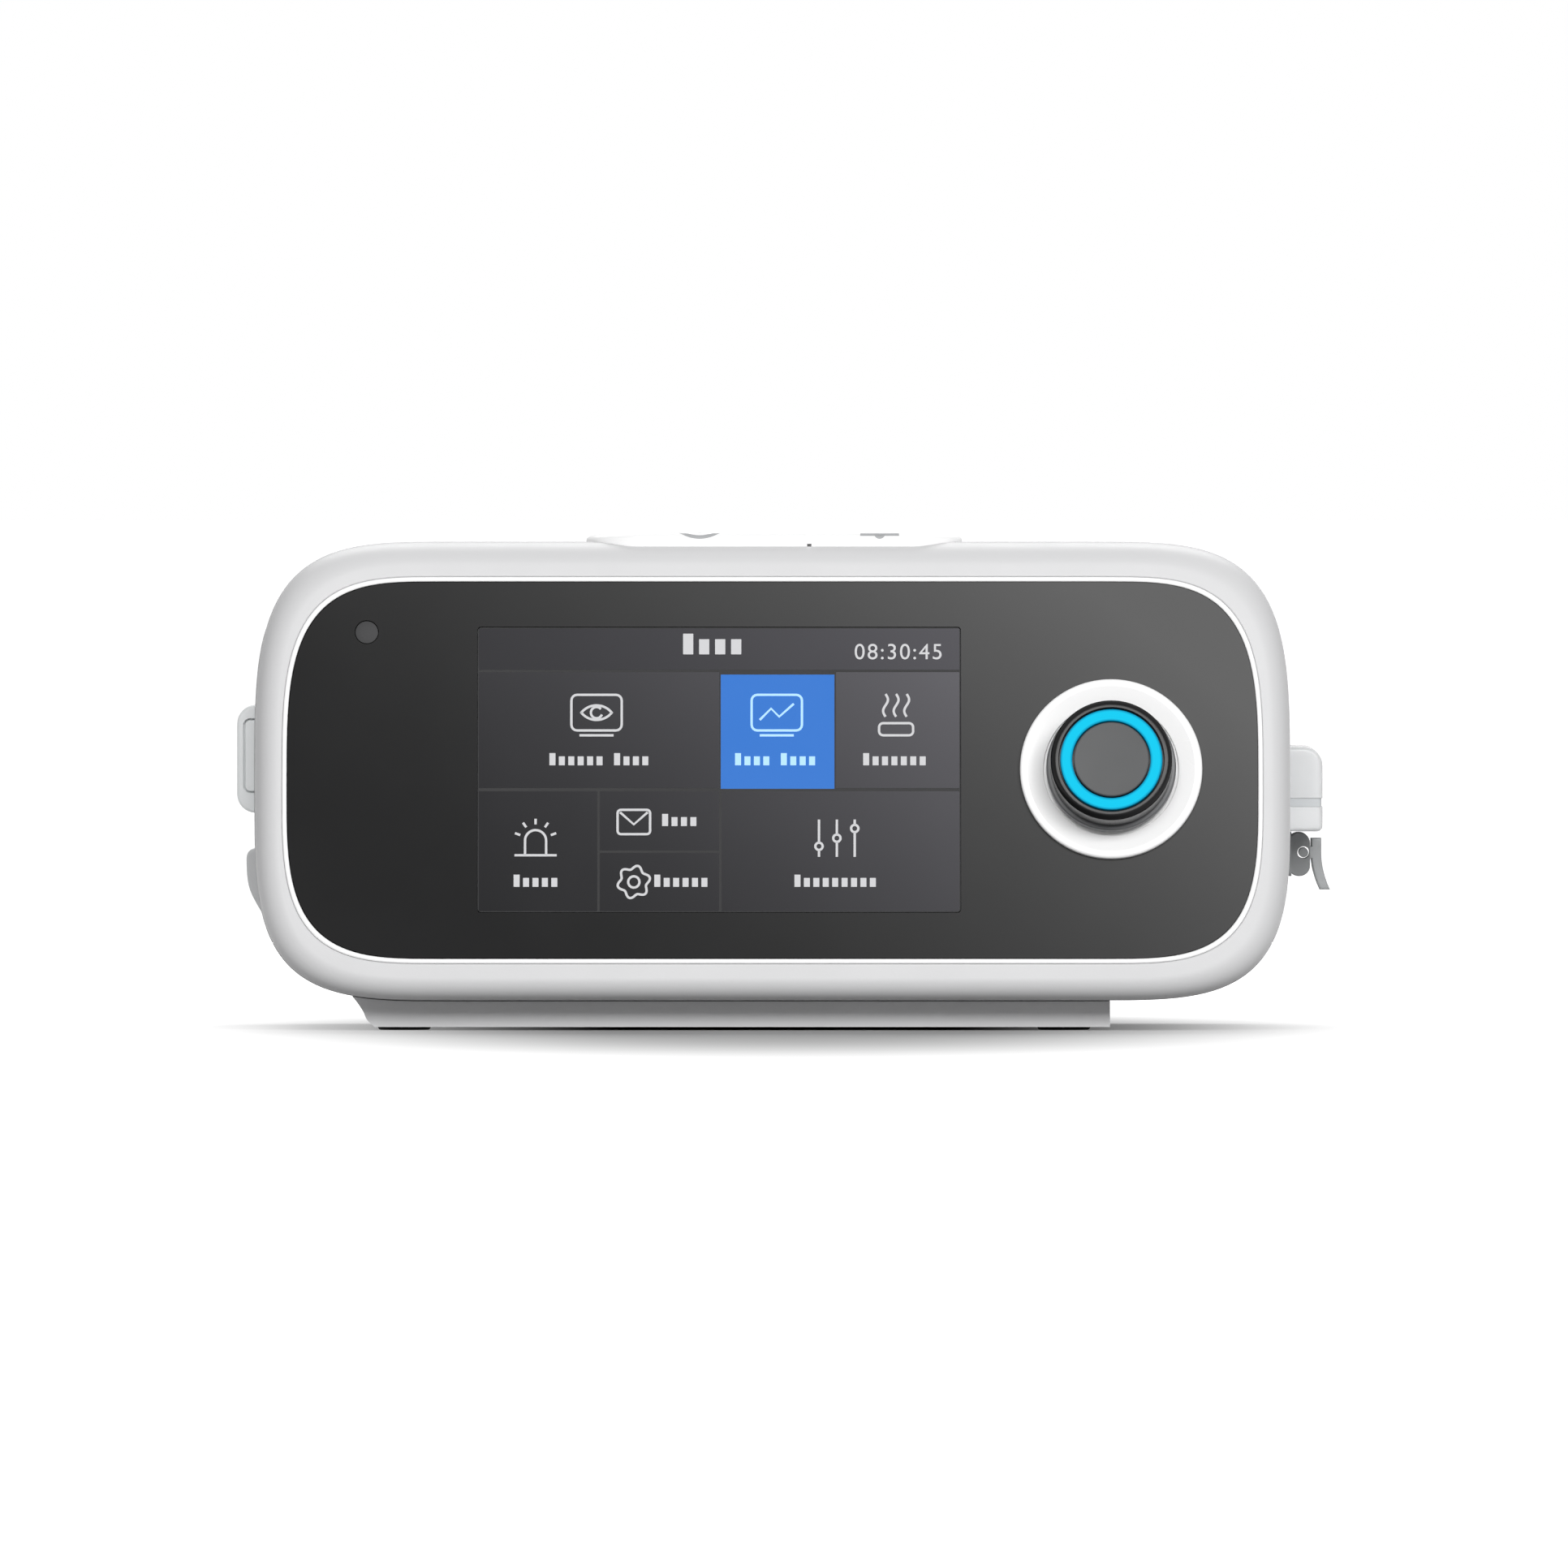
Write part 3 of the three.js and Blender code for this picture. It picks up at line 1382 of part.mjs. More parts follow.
add("front_bezel", makeBezel(), whitePlastic());
add("panel_trim", makePanelTrim(), brightWhite());
add("front_panel", makeFrontPanel(), paint(0x303030, 0.25));
add("display_window", makeDisplayWindow(), paint(0x3a3a40, 0.15));
add("sensor_lens", makeSensorLens(), paint(0x5a5a5a, 0.3));
add("lcd_module", makeLcdModule(), paint(0x2c2c30, 0.4));
add("front_chassis", makeFrontChassis(), ductPlastic());
add("main_board", makeMainBoard(), boardGreen());

add("knob_collar", makeKnobCollar(), brightWhite());
add("knob_skirt", makeKnobSkirt(), paint(0x3a3a3a, 0.4));
add("knob_grip", makeKnobGrip(), blackPlastic());
add("knob_light_ring", makeLightRing(), paint(0x00cfff, 0.3));
add("knob_cap", makeKnobCap(), paint(0x6a6a6a, 0.4));
add("encoder_shaft", makeEncoderShaft(), steel());
add("encoder_body", makeEncoderBody(), blackPlastic());

add("upper_shell", makeUpperShell(), whitePlastic());
add("lower_shell", makeLowerShell(), whitePlastic());
add("rear_panel", makeRearPanel(), greyPlastic());
add("base_plinth", makePlinth(), greyPlastic());
const footNames = ["foot_front_left", "foot_rear_left", "foot_front_right", "foot_rear_right"];
const makeFoot = ([x, y]) => disc(foot.radius, 0, foot.height, steps.small).translate(x, y, 0);
footPlaces.forEach((place, i) => add(footNames[i], makeFoot(place), rubber()));
screwPlaces.forEach((place, i) => add(`base_screw_${i + 1}`, makeScrew(place), steel()));

for (const [name, range] of Object.entries(keyRanges)) {
  add(name, makeKey(range), brightWhite());
  add(`${name}_dome`, makeDome(range), rubber());
}
add("button_board", makeButtonBoard(), boardGreen());

add("filter_door", makeFilterDoor(), whitePlastic());
add("door_pull", makeDoorPull(), paint(0xd6dbde, 0.35));
add("door_hinge_pin", makeDoorPin(), steel());
add("port_flap", makePortFlap(), paint(0xb9bcbd, 0.7));
add("accessory_socket", makeAccessorySocket(), blackPlastic());
add("filter_frame", makeFilterFrame(), greyPlastic());
add("air_filter", makeAirFilter(), paint(0xd8d8d2, 0.95));
add("inlet_duct", makeInletDuct(), ductPlastic());
add("blower_mount", makeBlowerMount(), rubber());
add("blower_base", makeBlowerBase(), blackPlastic());
add("blower_cover", makeBlowerCover(), blackPlastic());
add("blower_motor", makeBlowerMotor(), steel());
add("impeller", makeImpeller(), greyPlastic());

add("tank_bay", makeTankBay(), ductPlastic());
add("heater_plate", makeHeaterPlate(), steel());
add("water_tub", makeWaterTub(), clearPlastic());
add("lid_seal", makeLidSeal(), paint(0x8f9498, 0.6));
add("tank_lid", makeTankLid(), clearPlastic());
add("tank_base_plate", makeTankBasePlate(), steel());
add("latch_bracket", makeLatchBracket(), latchPlastic());
add("latch_pin", makeLatchPin(), steel());
add("latch_lever", makeLatchLever(), latchPlastic());

add("outlet_duct", makeOutletDuct(), ductPlastic());
add("tank_dock", makeTankDock(), ductPlastic());
add("hose_duct", makeHoseDuct(), ductPlastic());
add("hose_port", makeHosePort(), greyPlastic());
add("power_socket", makePowerSocket(), blackPlastic());

// The origin lies on the floor under the middle of everything
const bounds = new THREE.Box3().setFromObject(machine);
machine.position.set(-(bounds.min.x + bounds.max.x) / 2, -(bounds.min.y + bounds.max.y) / 2, 0);

export default root;
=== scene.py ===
# %% [markdown]
# # A CPAP machine for the bedside
# The machine is a white, soft-cornered housing with a leaning dark front, a colour screen, a turning
# knob with a lit ring, two keys on top and a water tank that slides out of its right side. The solids
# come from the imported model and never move. Smooth pieces take the place of the plain solids that
# show, and the inner pieces get better materials.

# %% Load the fixed frame
import json
import math

import bmesh
import bpy
from mathutils import Color, Matrix, Vector


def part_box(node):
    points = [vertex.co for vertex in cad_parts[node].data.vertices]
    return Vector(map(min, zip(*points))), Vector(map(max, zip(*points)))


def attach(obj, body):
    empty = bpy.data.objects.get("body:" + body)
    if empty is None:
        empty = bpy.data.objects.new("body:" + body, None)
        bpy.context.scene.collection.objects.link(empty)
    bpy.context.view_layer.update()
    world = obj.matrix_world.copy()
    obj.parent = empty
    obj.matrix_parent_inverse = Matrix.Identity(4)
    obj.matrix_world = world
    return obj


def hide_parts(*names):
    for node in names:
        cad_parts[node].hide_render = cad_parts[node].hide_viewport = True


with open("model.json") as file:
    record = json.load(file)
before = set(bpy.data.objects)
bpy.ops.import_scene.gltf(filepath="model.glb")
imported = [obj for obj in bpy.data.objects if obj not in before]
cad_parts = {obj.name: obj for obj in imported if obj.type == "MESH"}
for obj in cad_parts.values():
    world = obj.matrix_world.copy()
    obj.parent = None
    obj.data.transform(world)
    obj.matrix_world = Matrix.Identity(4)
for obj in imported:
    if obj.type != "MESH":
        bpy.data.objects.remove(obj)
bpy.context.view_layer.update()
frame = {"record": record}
record = frame["record"]
body_of = {node: body for body, nodes in record["behaviour"]["bodies"].items() for node in nodes}
scene = bpy.context.scene

# %% [markdown]
# ## Places that everything shares
# The housing's sides, top and back are read from the solids, so that every smooth piece lands where
# its solid stands. The front leans back about a line through its middle height. A small frame of its
# own, with x across, y up the slope and z out of it, makes the front as easy to fill as a table.

# %% Measure the housing and set up the leaning face
DEPTH = 0.150
LEAN = math.radians(11)
RIM_LOW = 0.0096
RIM_HIGH = 0.0091
GAP = 0.0003
OVERRUN = 0.001


def middle_of(node):
    """The middle of a solid's box."""
    low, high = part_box(node)
    return [(near + far) / 2 for near, far in zip(low, high)]


shell_low, shell_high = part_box("upper_shell")
panel_low, panel_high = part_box("front_panel")
MIDDLE_X = middle_of("upper_shell")[0]
HALF_WIDTH = (shell_high[0] - shell_low[0]) / 2
TOP = shell_high[2]
BACK_Y = shell_high[1]
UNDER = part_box("lower_shell")[0][2]
FRONT_Y = BACK_Y - DEPTH
PANEL_HIGH = TOP - UNDER - RIM_LOW - RIM_HIGH
FACE_Z = UNDER + RIM_LOW + PANEL_HIGH / 2
PANEL_HALF = (panel_high[0] - panel_low[0]) / 2
upright = Matrix.Rotation(math.pi / 2 - LEAN, 4, "X")
face_place = Matrix.Translation((MIDDLE_X, FRONT_Y, FACE_Z)) @ upright


def leaning_y(height):
    """Where the leaning front plane stands at a height above the floor."""
    return FRONT_Y + (height - FACE_Z) * math.tan(LEAN)


print("housing", round(HALF_WIDTH, 4), round(TOP, 4), "face height", round(FACE_Z, 4))

# %% [markdown]
# ## The camera
# The photo is almost without perspective: what stands far back is as large as what stands in front.
# So the camera stands fifteen metres off with a very long lens and looks down by half a degree. The
# lens is the sensor's width times the distance, over the picture's width at the front plane.

# %% Camera
CAMERA_DISTANCE = 15.0
CAMERA_RISE = math.radians(0.45)
PICTURE_WIDTH = 0.3574
SENSOR = 36.0
TARGET_X = -0.00006
TARGET_HEIGHT = 0.05624


def aimed(thing, target):
    """Turns a camera or a lamp to face a target, and puts it in the scene."""
    thing.rotation_euler = (target - thing.location).to_track_quat("-Z", "Y").to_euler()
    scene.collection.objects.link(thing)


target = Vector((TARGET_X, FRONT_Y, TARGET_HEIGHT))
camera = bpy.data.objects.new("photo_camera", bpy.data.cameras.new("photo_camera"))
camera.data.sensor_width = SENSOR
camera.data.lens = SENSOR * CAMERA_DISTANCE / PICTURE_WIDTH
camera.location = target + CAMERA_DISTANCE * Vector((0, -math.cos(CAMERA_RISE), math.sin(CAMERA_RISE)))
aimed(camera, target)
scene.camera = camera
print("lens", round(camera.data.lens, 1))

# %% [markdown]
# ## Floor and light
# The photo has a plain white ground and a dark, soft shadow close under the machine. A matt grey floor
# takes the lamps' real shadow. A glow that only the camera, mirrors and clear pieces see lifts it to
# white: none under the machine, and full outside an oval round it. So the grey oval is a painted shadow
# round the machine, added to the real one. The world shows white to the same rays, and lights the rest
# weakly. A broad lamp above and behind throws the shadow forwards. It is kept weak, so that the
# housing's top keeps its tone, and a stronger lamp in front lights the face.

# %% Helpers for shader nodes
WHITE = (1, 1, 1, 1)


def join_up(tree, node, feeds):
    """Gives inputs of a node their values, or links them to outputs of other nodes."""
    for socket, value in feeds.items():
        if isinstance(value, bpy.types.NodeSocket):
            tree.links.new(value, node.inputs[socket])
        else:
            node.inputs[socket].default_value = value


def add_node(tree, kind, feeds, out=0, **settings):
    """Adds a shader node with its settings and feeds, and returns one of its outputs."""
    node = tree.nodes.new("ShaderNode" + kind)
    for setting, value in settings.items():
        setattr(node, setting, value)
    join_up(tree, node, feeds)
    return node.outputs[out] if len(node.outputs) else None


def vector_math(tree, operation, first, second, out=0):
    """Adds a node that works out one thing from two vectors."""
    return add_node(tree, "VectorMath", {0: first, 1: second}, out, operation=operation)


def seen_share(tree):
    """One for rays from the camera, mirrors and clear pieces, and zero for the others."""
    rays = tree.nodes.new("ShaderNodeLightPath").outputs
    total = rays["Is Camera Ray"]
    for ray in ("Is Glossy Ray", "Is Transmission Ray"):
        total = add_node(tree, "Math", {0: total, 1: rays[ray]}, operation="MAXIMUM")
    return total


# %% Floor, world and lamps
scene.view_settings.view_transform = "Standard"
FLOOR_REACH = 30.0
FLOOR_COLOUR = 0.44
# The glow starts and ends at these distances from the middle, in reaches. The stretches scale them
# towards the front and the back, so the ground is an oval. Where the glow is low, the grey floor is
# painted shadow round the machine.
GLOW_REACH = 0.14
STRETCH_FRONT = 0.2
STRETCH_BACK = 0.45
GLOW_START = 0.27
GLOW_END = 1.28
WORLD_LEVEL = 0.36
LAMPS = {
    "lamp_behind": {"at": (0.0, 1.2, 1.4), "size": (1.4, 1.0), "power": 16.0},
    "lamp_front": {"at": (0.45, -2.6, 1.0), "size": (2.2, 0.8), "power": 60.0},
}
floor_mesh = bmesh.new()
bmesh.ops.create_grid(floor_mesh, x_segments=1, y_segments=1, size=FLOOR_REACH)
floor_data = bpy.data.meshes.new("floor")
floor_mesh.to_mesh(floor_data)
floor_mesh.free()
floor = bpy.data.objects.new("floor", floor_data)
scene.collection.objects.link(floor)
paper = bpy.data.materials.new("floor_paper")
paper.use_nodes = True
tree = paper.node_tree
tree.nodes.clear()
place = add_node(tree, "TexCoord", {}, "Object")
front, back = [
    vector_math(tree, "MULTIPLY", place, (0, stretch / GLOW_REACH, 0))
    for stretch in (-STRETCH_FRONT, STRETCH_BACK)
]
along = vector_math(tree, "MAXIMUM", front, back)
across = vector_math(tree, "MULTIPLY", place, (1 / GLOW_REACH, 0, 0))
place = vector_math(tree, "ADD", along, across)
# Inside the oval the glow stays low: the grey there is painted shadow.
away = add_node(tree, "VectorMath", {0: place}, "Value", operation="LENGTH")
oval = {"Value": away, "From Min": GLOW_START, "From Max": GLOW_END}
rise = add_node(tree, "MapRange", oval, interpolation_type="SMOOTHSTEP")
strength = add_node(tree, "Math", {0: seen_share(tree), 1: rise}, operation="MULTIPLY")
grey = add_node(tree, "BsdfDiffuse", {"Color": (FLOOR_COLOUR, FLOOR_COLOUR, FLOOR_COLOUR, 1)})
glow = add_node(tree, "Emission", {"Strength": strength})
add_node(tree, "OutputMaterial", {"Surface": add_node(tree, "AddShader", {0: grey, 1: glow})})
floor_data.materials.append(paper)

scene.world = bpy.data.worlds.new("studio")
scene.world.use_nodes = True
tree = scene.world.node_tree
tree.nodes.clear()
level = add_node(tree, "MapRange", {"Value": seen_share(tree), "To Min": WORLD_LEVEL})
around = add_node(tree, "Background", {"Color": WHITE, "Strength": level})
add_node(tree, "OutputWorld", {"Surface": around})

for name, lamp in LAMPS.items():
    data = bpy.data.lights.new(name, "AREA")
    data.shape = "RECTANGLE"
    data.size, data.size_y = lamp["size"]
    data.energy = lamp["power"]
    light = bpy.data.objects.new(name, data)
    light.location = lamp["at"]
    aimed(light, Vector((MIDDLE_X, 0, FACE_Z)))
print("lamps", len(LAMPS))

# %% [markdown]
# ## Moulded plastic, rubber, foam and metal
# Moulded plastic is never one flat colour. It has a fine grain from the mould, a very slight change of
# tone, and a sheen that is a little duller here and there. One recipe makes all the finishes: a broad
# noise mixes two close tones, a finer noise moves the roughness, and a fine grain drives a bump.
# Every noise reads Object coordinates, so that it stays put on the piece.

# %% The recipe for a moulded surface
TONE_SCALE = 9.0
SHEEN_SCALE = 55.0
GRAIN_SCALE = 1400.0
PLAIN_DETAIL = 2.0
GRAIN_DETAIL = 3.0
PLAIN_GLOSS = 0.5
FULL_LEVEL = 255
FINISHES = {}


def colour(levels):
    """Screen levels from 0 to 255 as the linear colour that shaders use."""
    shares = [level / FULL_LEVEL for level in levels]
    return (*Color(shares).from_srgb_to_scene_linear(), 1)


def blended(tree, share, first, second):
    """A colour between two colours, by a share."""
    return add_node(tree, "Mix", {"Factor": share, "A": first, "B": second}, "Result", data_type="RGBA")


def on_surface(made, feeds):
    """Feeds the main shader of a finish."""
    join_up(made.node_tree, made.node_tree.nodes["Principled BSDF"], feeds)
    return made


def moulded(
    name, levels, roughness, grain=0.00002, scale=GRAIN_SCALE, tone=0.06, sheen=0.08,
    gloss=PLAIN_GLOSS, metal=0,
):
    """Keeps a new finish: its colour in screen levels, its roughness and the depth of its grain."""
    made = bpy.data.materials.new(name)
    made.use_nodes = True
    tree = made.node_tree
    place = add_node(tree, "TexCoord", {}, "Object")

    def noise(scale, detail=PLAIN_DETAIL):
        return add_node(tree, "TexNoise", {"Vector": place, "Scale": scale, "Detail": detail}, "Fac")

    base = colour(levels)[:3]
    darker, lighter = [[min(1, value * grow) for value in base] + [1] for grow in (1 - tone, 1 + tone)]
    dull = {"Value": noise(SHEEN_SCALE), "To Min": roughness - sheen, "To Max": min(1, roughness + sheen)}
    FINISHES[name] = on_surface(made, {
        "Base Color": blended(tree, noise(TONE_SCALE), darker, lighter),
        "Roughness": add_node(tree, "MapRange", dull),
        "Normal": add_node(tree, "Bump", {"Height": noise(scale, GRAIN_DETAIL), "Distance": grain}, "Normal"),
        "Specular IOR Level": gloss,
        "Metallic": metal,
    })
    return FINISHES[name]


# %% The plain finishes of this machine
moulded("trim_white", (252, 252, 252), 0.28, grain=0.000004, tone=0.01)
moulded("collar_white", (252, 252, 252), 0.3, grain=0.000006, tone=0.01)
moulded("key_white", (248, 248, 248), 0.3, grain=0.000006, tone=0.02)
moulded("screen_glass", (20, 20, 22), 0.3, grain=0.000001, tone=0.03, sheen=0.02, gloss=0.1)
moulded("lens_grey", (66, 66, 67), 0.45, grain=0.000002, sheen=0.02, gloss=0.1)
moulded("skirt_grey", (96, 97, 99), 0.38, grain=0.000004)
moulded("grip_black", (9, 9, 10), 0.24, grain=0.000003, gloss=0.2)
moulded("cap_grey", (78, 79, 80), 0.5, grain=0.000006, tone=0.03, gloss=0.3)
moulded("base_grey", (229, 229, 230), 0.5)
moulded("rear_grey", (176, 178, 180), 0.5, grain=0.000025)
moulded("flap_grey", (234, 235, 236), 0.5)
moulded("pull_blue_grey", (250, 253, 254), 0.35, grain=0.000008, tone=0.03)
moulded("duct_grey", (150, 153, 156), 0.5)
moulded("black_plastic", (30, 30, 32), 0.4, grain=0.00001)
moulded("rubber", (38, 38, 39), 0.85, grain=0.00004, scale=900.0)
moulded("seal_rubber", (206, 209, 211), 0.75)
moulded("foam", (70, 74, 78), 0.95, grain=0.0006, scale=420.0, tone=0.25)
moulded("lcd_grey", (60, 62, 66), 0.5, grain=0.00001)
moulded("board_green", (26, 92, 58), 0.45, scale=300.0, tone=0.2)
moulded("steel", (170, 172, 176), 0.32, grain=0.000006, metal=1)
moulded("symbol_grey", (170, 171, 173), 0.45, grain=0.000004)

# %% The shell's finish, without glare at its edges
SHELL_GLOSS = 0.35
GRAZE_START = 0.82
shell_finish = moulded("shell_white", (211, 211, 212), 0.46, grain=0.000012, tone=0.02)
tree = shell_finish.node_tree
grazing = {
    "Value": add_node(tree, "LayerWeight", {}, "Facing"),
    "From Min": GRAZE_START,
    "To Min": SHELL_GLOSS,
    "To Max": 0,
}
on_surface(shell_finish, {"Specular IOR Level": add_node(tree, "MapRange", grazing)})

# %% Dark finishes with a painted reflection: their tone rises from the lower left to the upper right
# The rise in tone is a painted reflection of a broad soft light across the glossy panel and the screen's
# tiles.
TONE_ACROSS = 3.89
TONE_UP = 4.89
TONE_START = 0.236
TONE_POWER = 2.0
PAINTED_REFLECTION_TONES = {
    "panel_black": {"from": (5, 5, 6), "to": (90, 90, 90), "roughness": 0.34, "glow": 0},
    "tile_dark": {"from": (8, 8, 11), "to": (98, 97, 102), "roughness": 0.32, "glow": 0.35},
    "tile_header": {"from": (16, 16, 19), "to": (80, 79, 84), "roughness": 0.32, "glow": 0.35},
}
for name, look in PAINTED_REFLECTION_TONES.items():
    made = moulded(name, look["from"], look["roughness"], grain=0.000002, sheen=0.02, gloss=0.05)
    tree = made.node_tree
    place = add_node(tree, "TexCoord", {}, "Object")
    along = vector_math(tree, "DOT_PRODUCT", place, (TONE_ACROSS, 0, TONE_UP), "Value")
    rise = add_node(tree, "Math", {0: along, 1: TONE_START}, operation="ADD", use_clamp=True)
    curve = add_node(tree, "Math", {0: rise, 1: TONE_POWER}, operation="POWER")
    # This tone carries the painted reflection into the colour, and into the tiles' glow.
    tone = blended(tree, curve, colour(look["from"]), colour(look["to"]))
    on_surface(made, {"Base Color": tone, "Emission Color": tone, "Emission Strength": look["glow"]})
print("finishes", len(FINISHES))

# %% [markdown]
# ## Making and finishing a piece
# Every new piece starts as a bmesh and becomes an object at the origin, with its place in its mesh. It
# gets smooth shading that stops at real edges, and rides on the body of the solid it stands for.

# %% Helpers that finish a piece
SHARP_ANGLE = math.radians(32)
MERGE_REACH = 0.000002


def made_piece(name, bm, flip=True):
    """Turns a bmesh into a linked object with merged points and outward faces."""
    bmesh.ops.remove_doubles(bm, verts=bm.verts, dist=MERGE_REACH)
    if flip:
        bmesh.ops.recalc_face_normals(bm, faces=bm.faces)
    mesh = bpy.data.meshes.new(name)
    bm.to_mesh(mesh)
    bm.free()
    piece = bpy.data.objects.new(name, mesh)
    scene.collection.objects.link(piece)
    return piece


def finished_mesh(piece):
    """The mesh that an object makes with its modifiers."""
    return bpy.data.meshes.new_from_object(piece.evaluated_get(bpy.context.evaluated_depsgraph_get()))


def applied(piece):
    """Writes what a piece's modifiers make into its mesh and takes the modifiers off."""
    mesh = finished_mesh(piece)
    piece.modifiers.clear()
    old = piece.data
    piece.data = mesh
    bpy.data.meshes.remove(old)
    return piece


def carved(piece, *cutters, operation="DIFFERENCE"):
    """Cuts the cutters from a piece, or joins or crosses them with it, and removes them."""
    for cutter in cutters:
        change = piece.modifiers.new("carve", "BOOLEAN")
        change.operation = operation
        change.solver = "EXACT"
        change.object = cutter
        applied(piece)
        bpy.data.objects.remove(cutter)
    return piece


def added_detail(piece, finish, node):
    """Gives a piece its finish and smooth shading, and the body of the node it belongs to."""
    mesh = piece.data
    mesh.materials.clear()
    mesh.materials.append(FINISHES[finish])
    for face in mesh.polygons:
        face.use_smooth = True
        face.material_index = 0
    mesh.set_sharp_from_angle(angle=SHARP_ANGLE)
    flatter = piece.modifiers.new("flatter", "WEIGHTED_NORMAL")
    flatter.keep_sharp = True
    applied(piece)
    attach(piece, body_of[node])


def dressed(piece, finish, node):
    """As added_detail, for a piece that takes the place of its node."""
    added_detail(piece, finish, node)
    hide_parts(node)
    print(piece.name, len(piece.data.polygons), "faces")


# %% [markdown]
# ## The soft outline
# The housing and its panel share one outline: straight along the top and bottom, with ends that bulge
# like a cushion. Each quarter is a superellipse, a circle whose corner is pushed outwards, and the
# widest level lies a little under half of the height. A skin starts as a circle of edges that is moved
# onto the first outline, and is extruded from one outline to the next.

# %% Outlines
QUARTER_STEPS = 30
LOWER_SHARE = 0.46
CORNER_WIDTH = 0.0463
CORNER_POWER = 3.8
PANEL_CORNER_WIDTH = 0.0352
PANEL_CORNER_POWER = 3.5
SIDE_TAPER = 0.001
TOP_TAPER = 0.004
BACK_ROUND = 0.011
WALL = 0.0024


def soft_outline(half, low, high, corner_width, power):
    """The outline as (x, z) points, counter-clockwise from the widest point on the right."""
    widest = low + (high - low) * LOWER_SHARE
    points = []
    for side, level in ((1, 1), (-1, 1), (-1, -1), (1, -1)):
        reach = high - widest if level > 0 else widest - low
        for step in range(QUARTER_STEPS + 1):
            share = step / QUARTER_STEPS
            turn = (share if side == level else 1 - share) * math.pi / 2
            x = half - corner_width * (1 - math.cos(turn) ** (2 / power))
            point = (MIDDLE_X + side * x, widest + level * reach * math.sin(turn) ** (2 / power))
            if not points or math.dist(points[-1], point) > MERGE_REACH:
                points.append(point)
    return points[:-1] if math.dist(points[0], points[-1]) < MERGE_REACH else points


def housing_outline(inset=0, back_share=0):
    """The housing's outline, drawn in by an inset, and tapered by a share of the way to the back."""
    half = HALF_WIDTH - inset - SIDE_TAPER * back_share
    high = TOP - inset - TOP_TAPER * back_share
    return soft_outline(half, UNDER + inset, high, CORNER_WIDTH - inset, CORNER_POWER)


def panel_outline(margin):
    """The panel's outline, grown by a margin."""
    reach = PANEL_HIGH / 2 + margin
    corner = PANEL_CORNER_WIDTH + margin
    return soft_outline(PANEL_HALF + margin, FACE_Z - reach, FACE_Z + reach, corner, PANEL_CORNER_POWER)


def on_front(outline, behind):
    return [Vector((x, leaning_y(z) + behind, z)) for x, z in outline]


def on_upright(outline, y):
    return [Vector((x, y, z)) for x, z in outline]


def quarter_turn(steps):
    """How far a quarter round has gone inwards and upwards, as shares, at each of its steps."""
    turns = [step / steps * math.pi / 2 for step in range(steps + 1)]
    return [(1 - math.cos(turn), math.sin(turn)) for turn in turns]


print("outline points", len(housing_outline()))

# %% Skins and blocks
ROUND_PROFILE = 0.5
CORNER_STEPS = 8
RIM_STEPS = 3
END_FACING = 0.9


def skin(rings, closed=False):
    """Extrudes a loop of edges from ring to ring. A closed run returns to its first ring, an open one
    gets a face at each end."""
    bm = bmesh.new()
    start = bmesh.ops.create_circle(bm, segments=len(rings[0]), radius=1)["verts"]
    for vert, place in zip(start, rings[0]):
        vert.co = place
    edges = list(bm.edges)
    if not closed:
        bmesh.ops.edgeloop_fill(bm, edges=edges)
    current = {vert: index for index, vert in enumerate(start)}
    for ring in rings[1:] + ([rings[0]] if closed else []):
        grown = bmesh.ops.extrude_edge_only(bm, edges=edges)["geom"]
        fresh = {}
        for vert in (item for item in grown if isinstance(item, bmesh.types.BMVert)):
            near = next(e.other_vert(vert) for e in vert.link_edges if e.other_vert(vert) in current)
            fresh[vert] = current[near]
        for vert, index in fresh.items():
            vert.co = ring[index]
        edges = [e for e in grown if isinstance(e, bmesh.types.BMEdge) and set(e.verts) <= set(fresh)]
        current = fresh
    if not closed:
        bmesh.ops.edgeloop_fill(bm, edges=edges)
    return bm


def bevelled(bm, edges, offset, steps):
    """Rounds edges of a bmesh."""
    bmesh.ops.bevel(
        bm, geom=edges, offset=offset, affect="EDGES", segments=steps, profile=ROUND_PROFILE, material=-1
    )


def round_rims(bm, along, edge):
    """Rounds the rims of the two end faces along an axis finely."""
    ends = [face for face in bm.faces if abs(face.normal["xyz".index(along)]) > END_FACING]
    if edge > 0:
        bevelled(bm, list(dict.fromkeys(rim for face in ends for rim in face.edges)), edge, RIM_STEPS)


def rounded_block(low, high, along, corner, edge=0, place=None, corner_steps=CORNER_STEPS):
    """A box whose four edges along one axis are rounded widely, and whose rims are rounded finely."""
    bm = bmesh.new()
    bmesh.ops.create_cube(bm, size=1)
    for vert in bm.verts:
        vert.co = [far if share > 0 else near for near, far, share in zip(low, high, vert.co)]
    axis = "xyz".index(along)
    if corner > 0:
        tall = [e for e in bm.edges if abs((e.verts[0].co - e.verts[1].co)[axis]) > MERGE_REACH]
        bevelled(bm, tall, corner, corner_steps)
    round_rims(bm, along, edge)
    if place is not None:
        bmesh.ops.transform(bm, matrix=place, verts=bm.verts)
    return bm


def block(low, high, along="x", corner=0, edge=0, name="block", **others):
    """A rounded block as a piece."""
    return made_piece(name, rounded_block(low, high, along, corner, edge, **others))


def widened(low, high, *margins):
    """A box's two corners, moved outwards by a margin along each axis."""
    near = [end - margin for end, margin in zip(low, margins)]
    return near, [end + margin for end, margin in zip(high, margins)]

# %% [markdown]
# ## The front frame
# The white frame rolls over from the skin of the housing to the flat face round the panel, where a
# moulder would give it one generous radius. Its cross-section is drawn as a run of outlines: each is
# drawn in from the skin and laid on a plane a little nearer to the face. Behind the face, a ledge
# carries the panel. The keys on top sit in a pocket that is cut out of the frame and the upper shell.

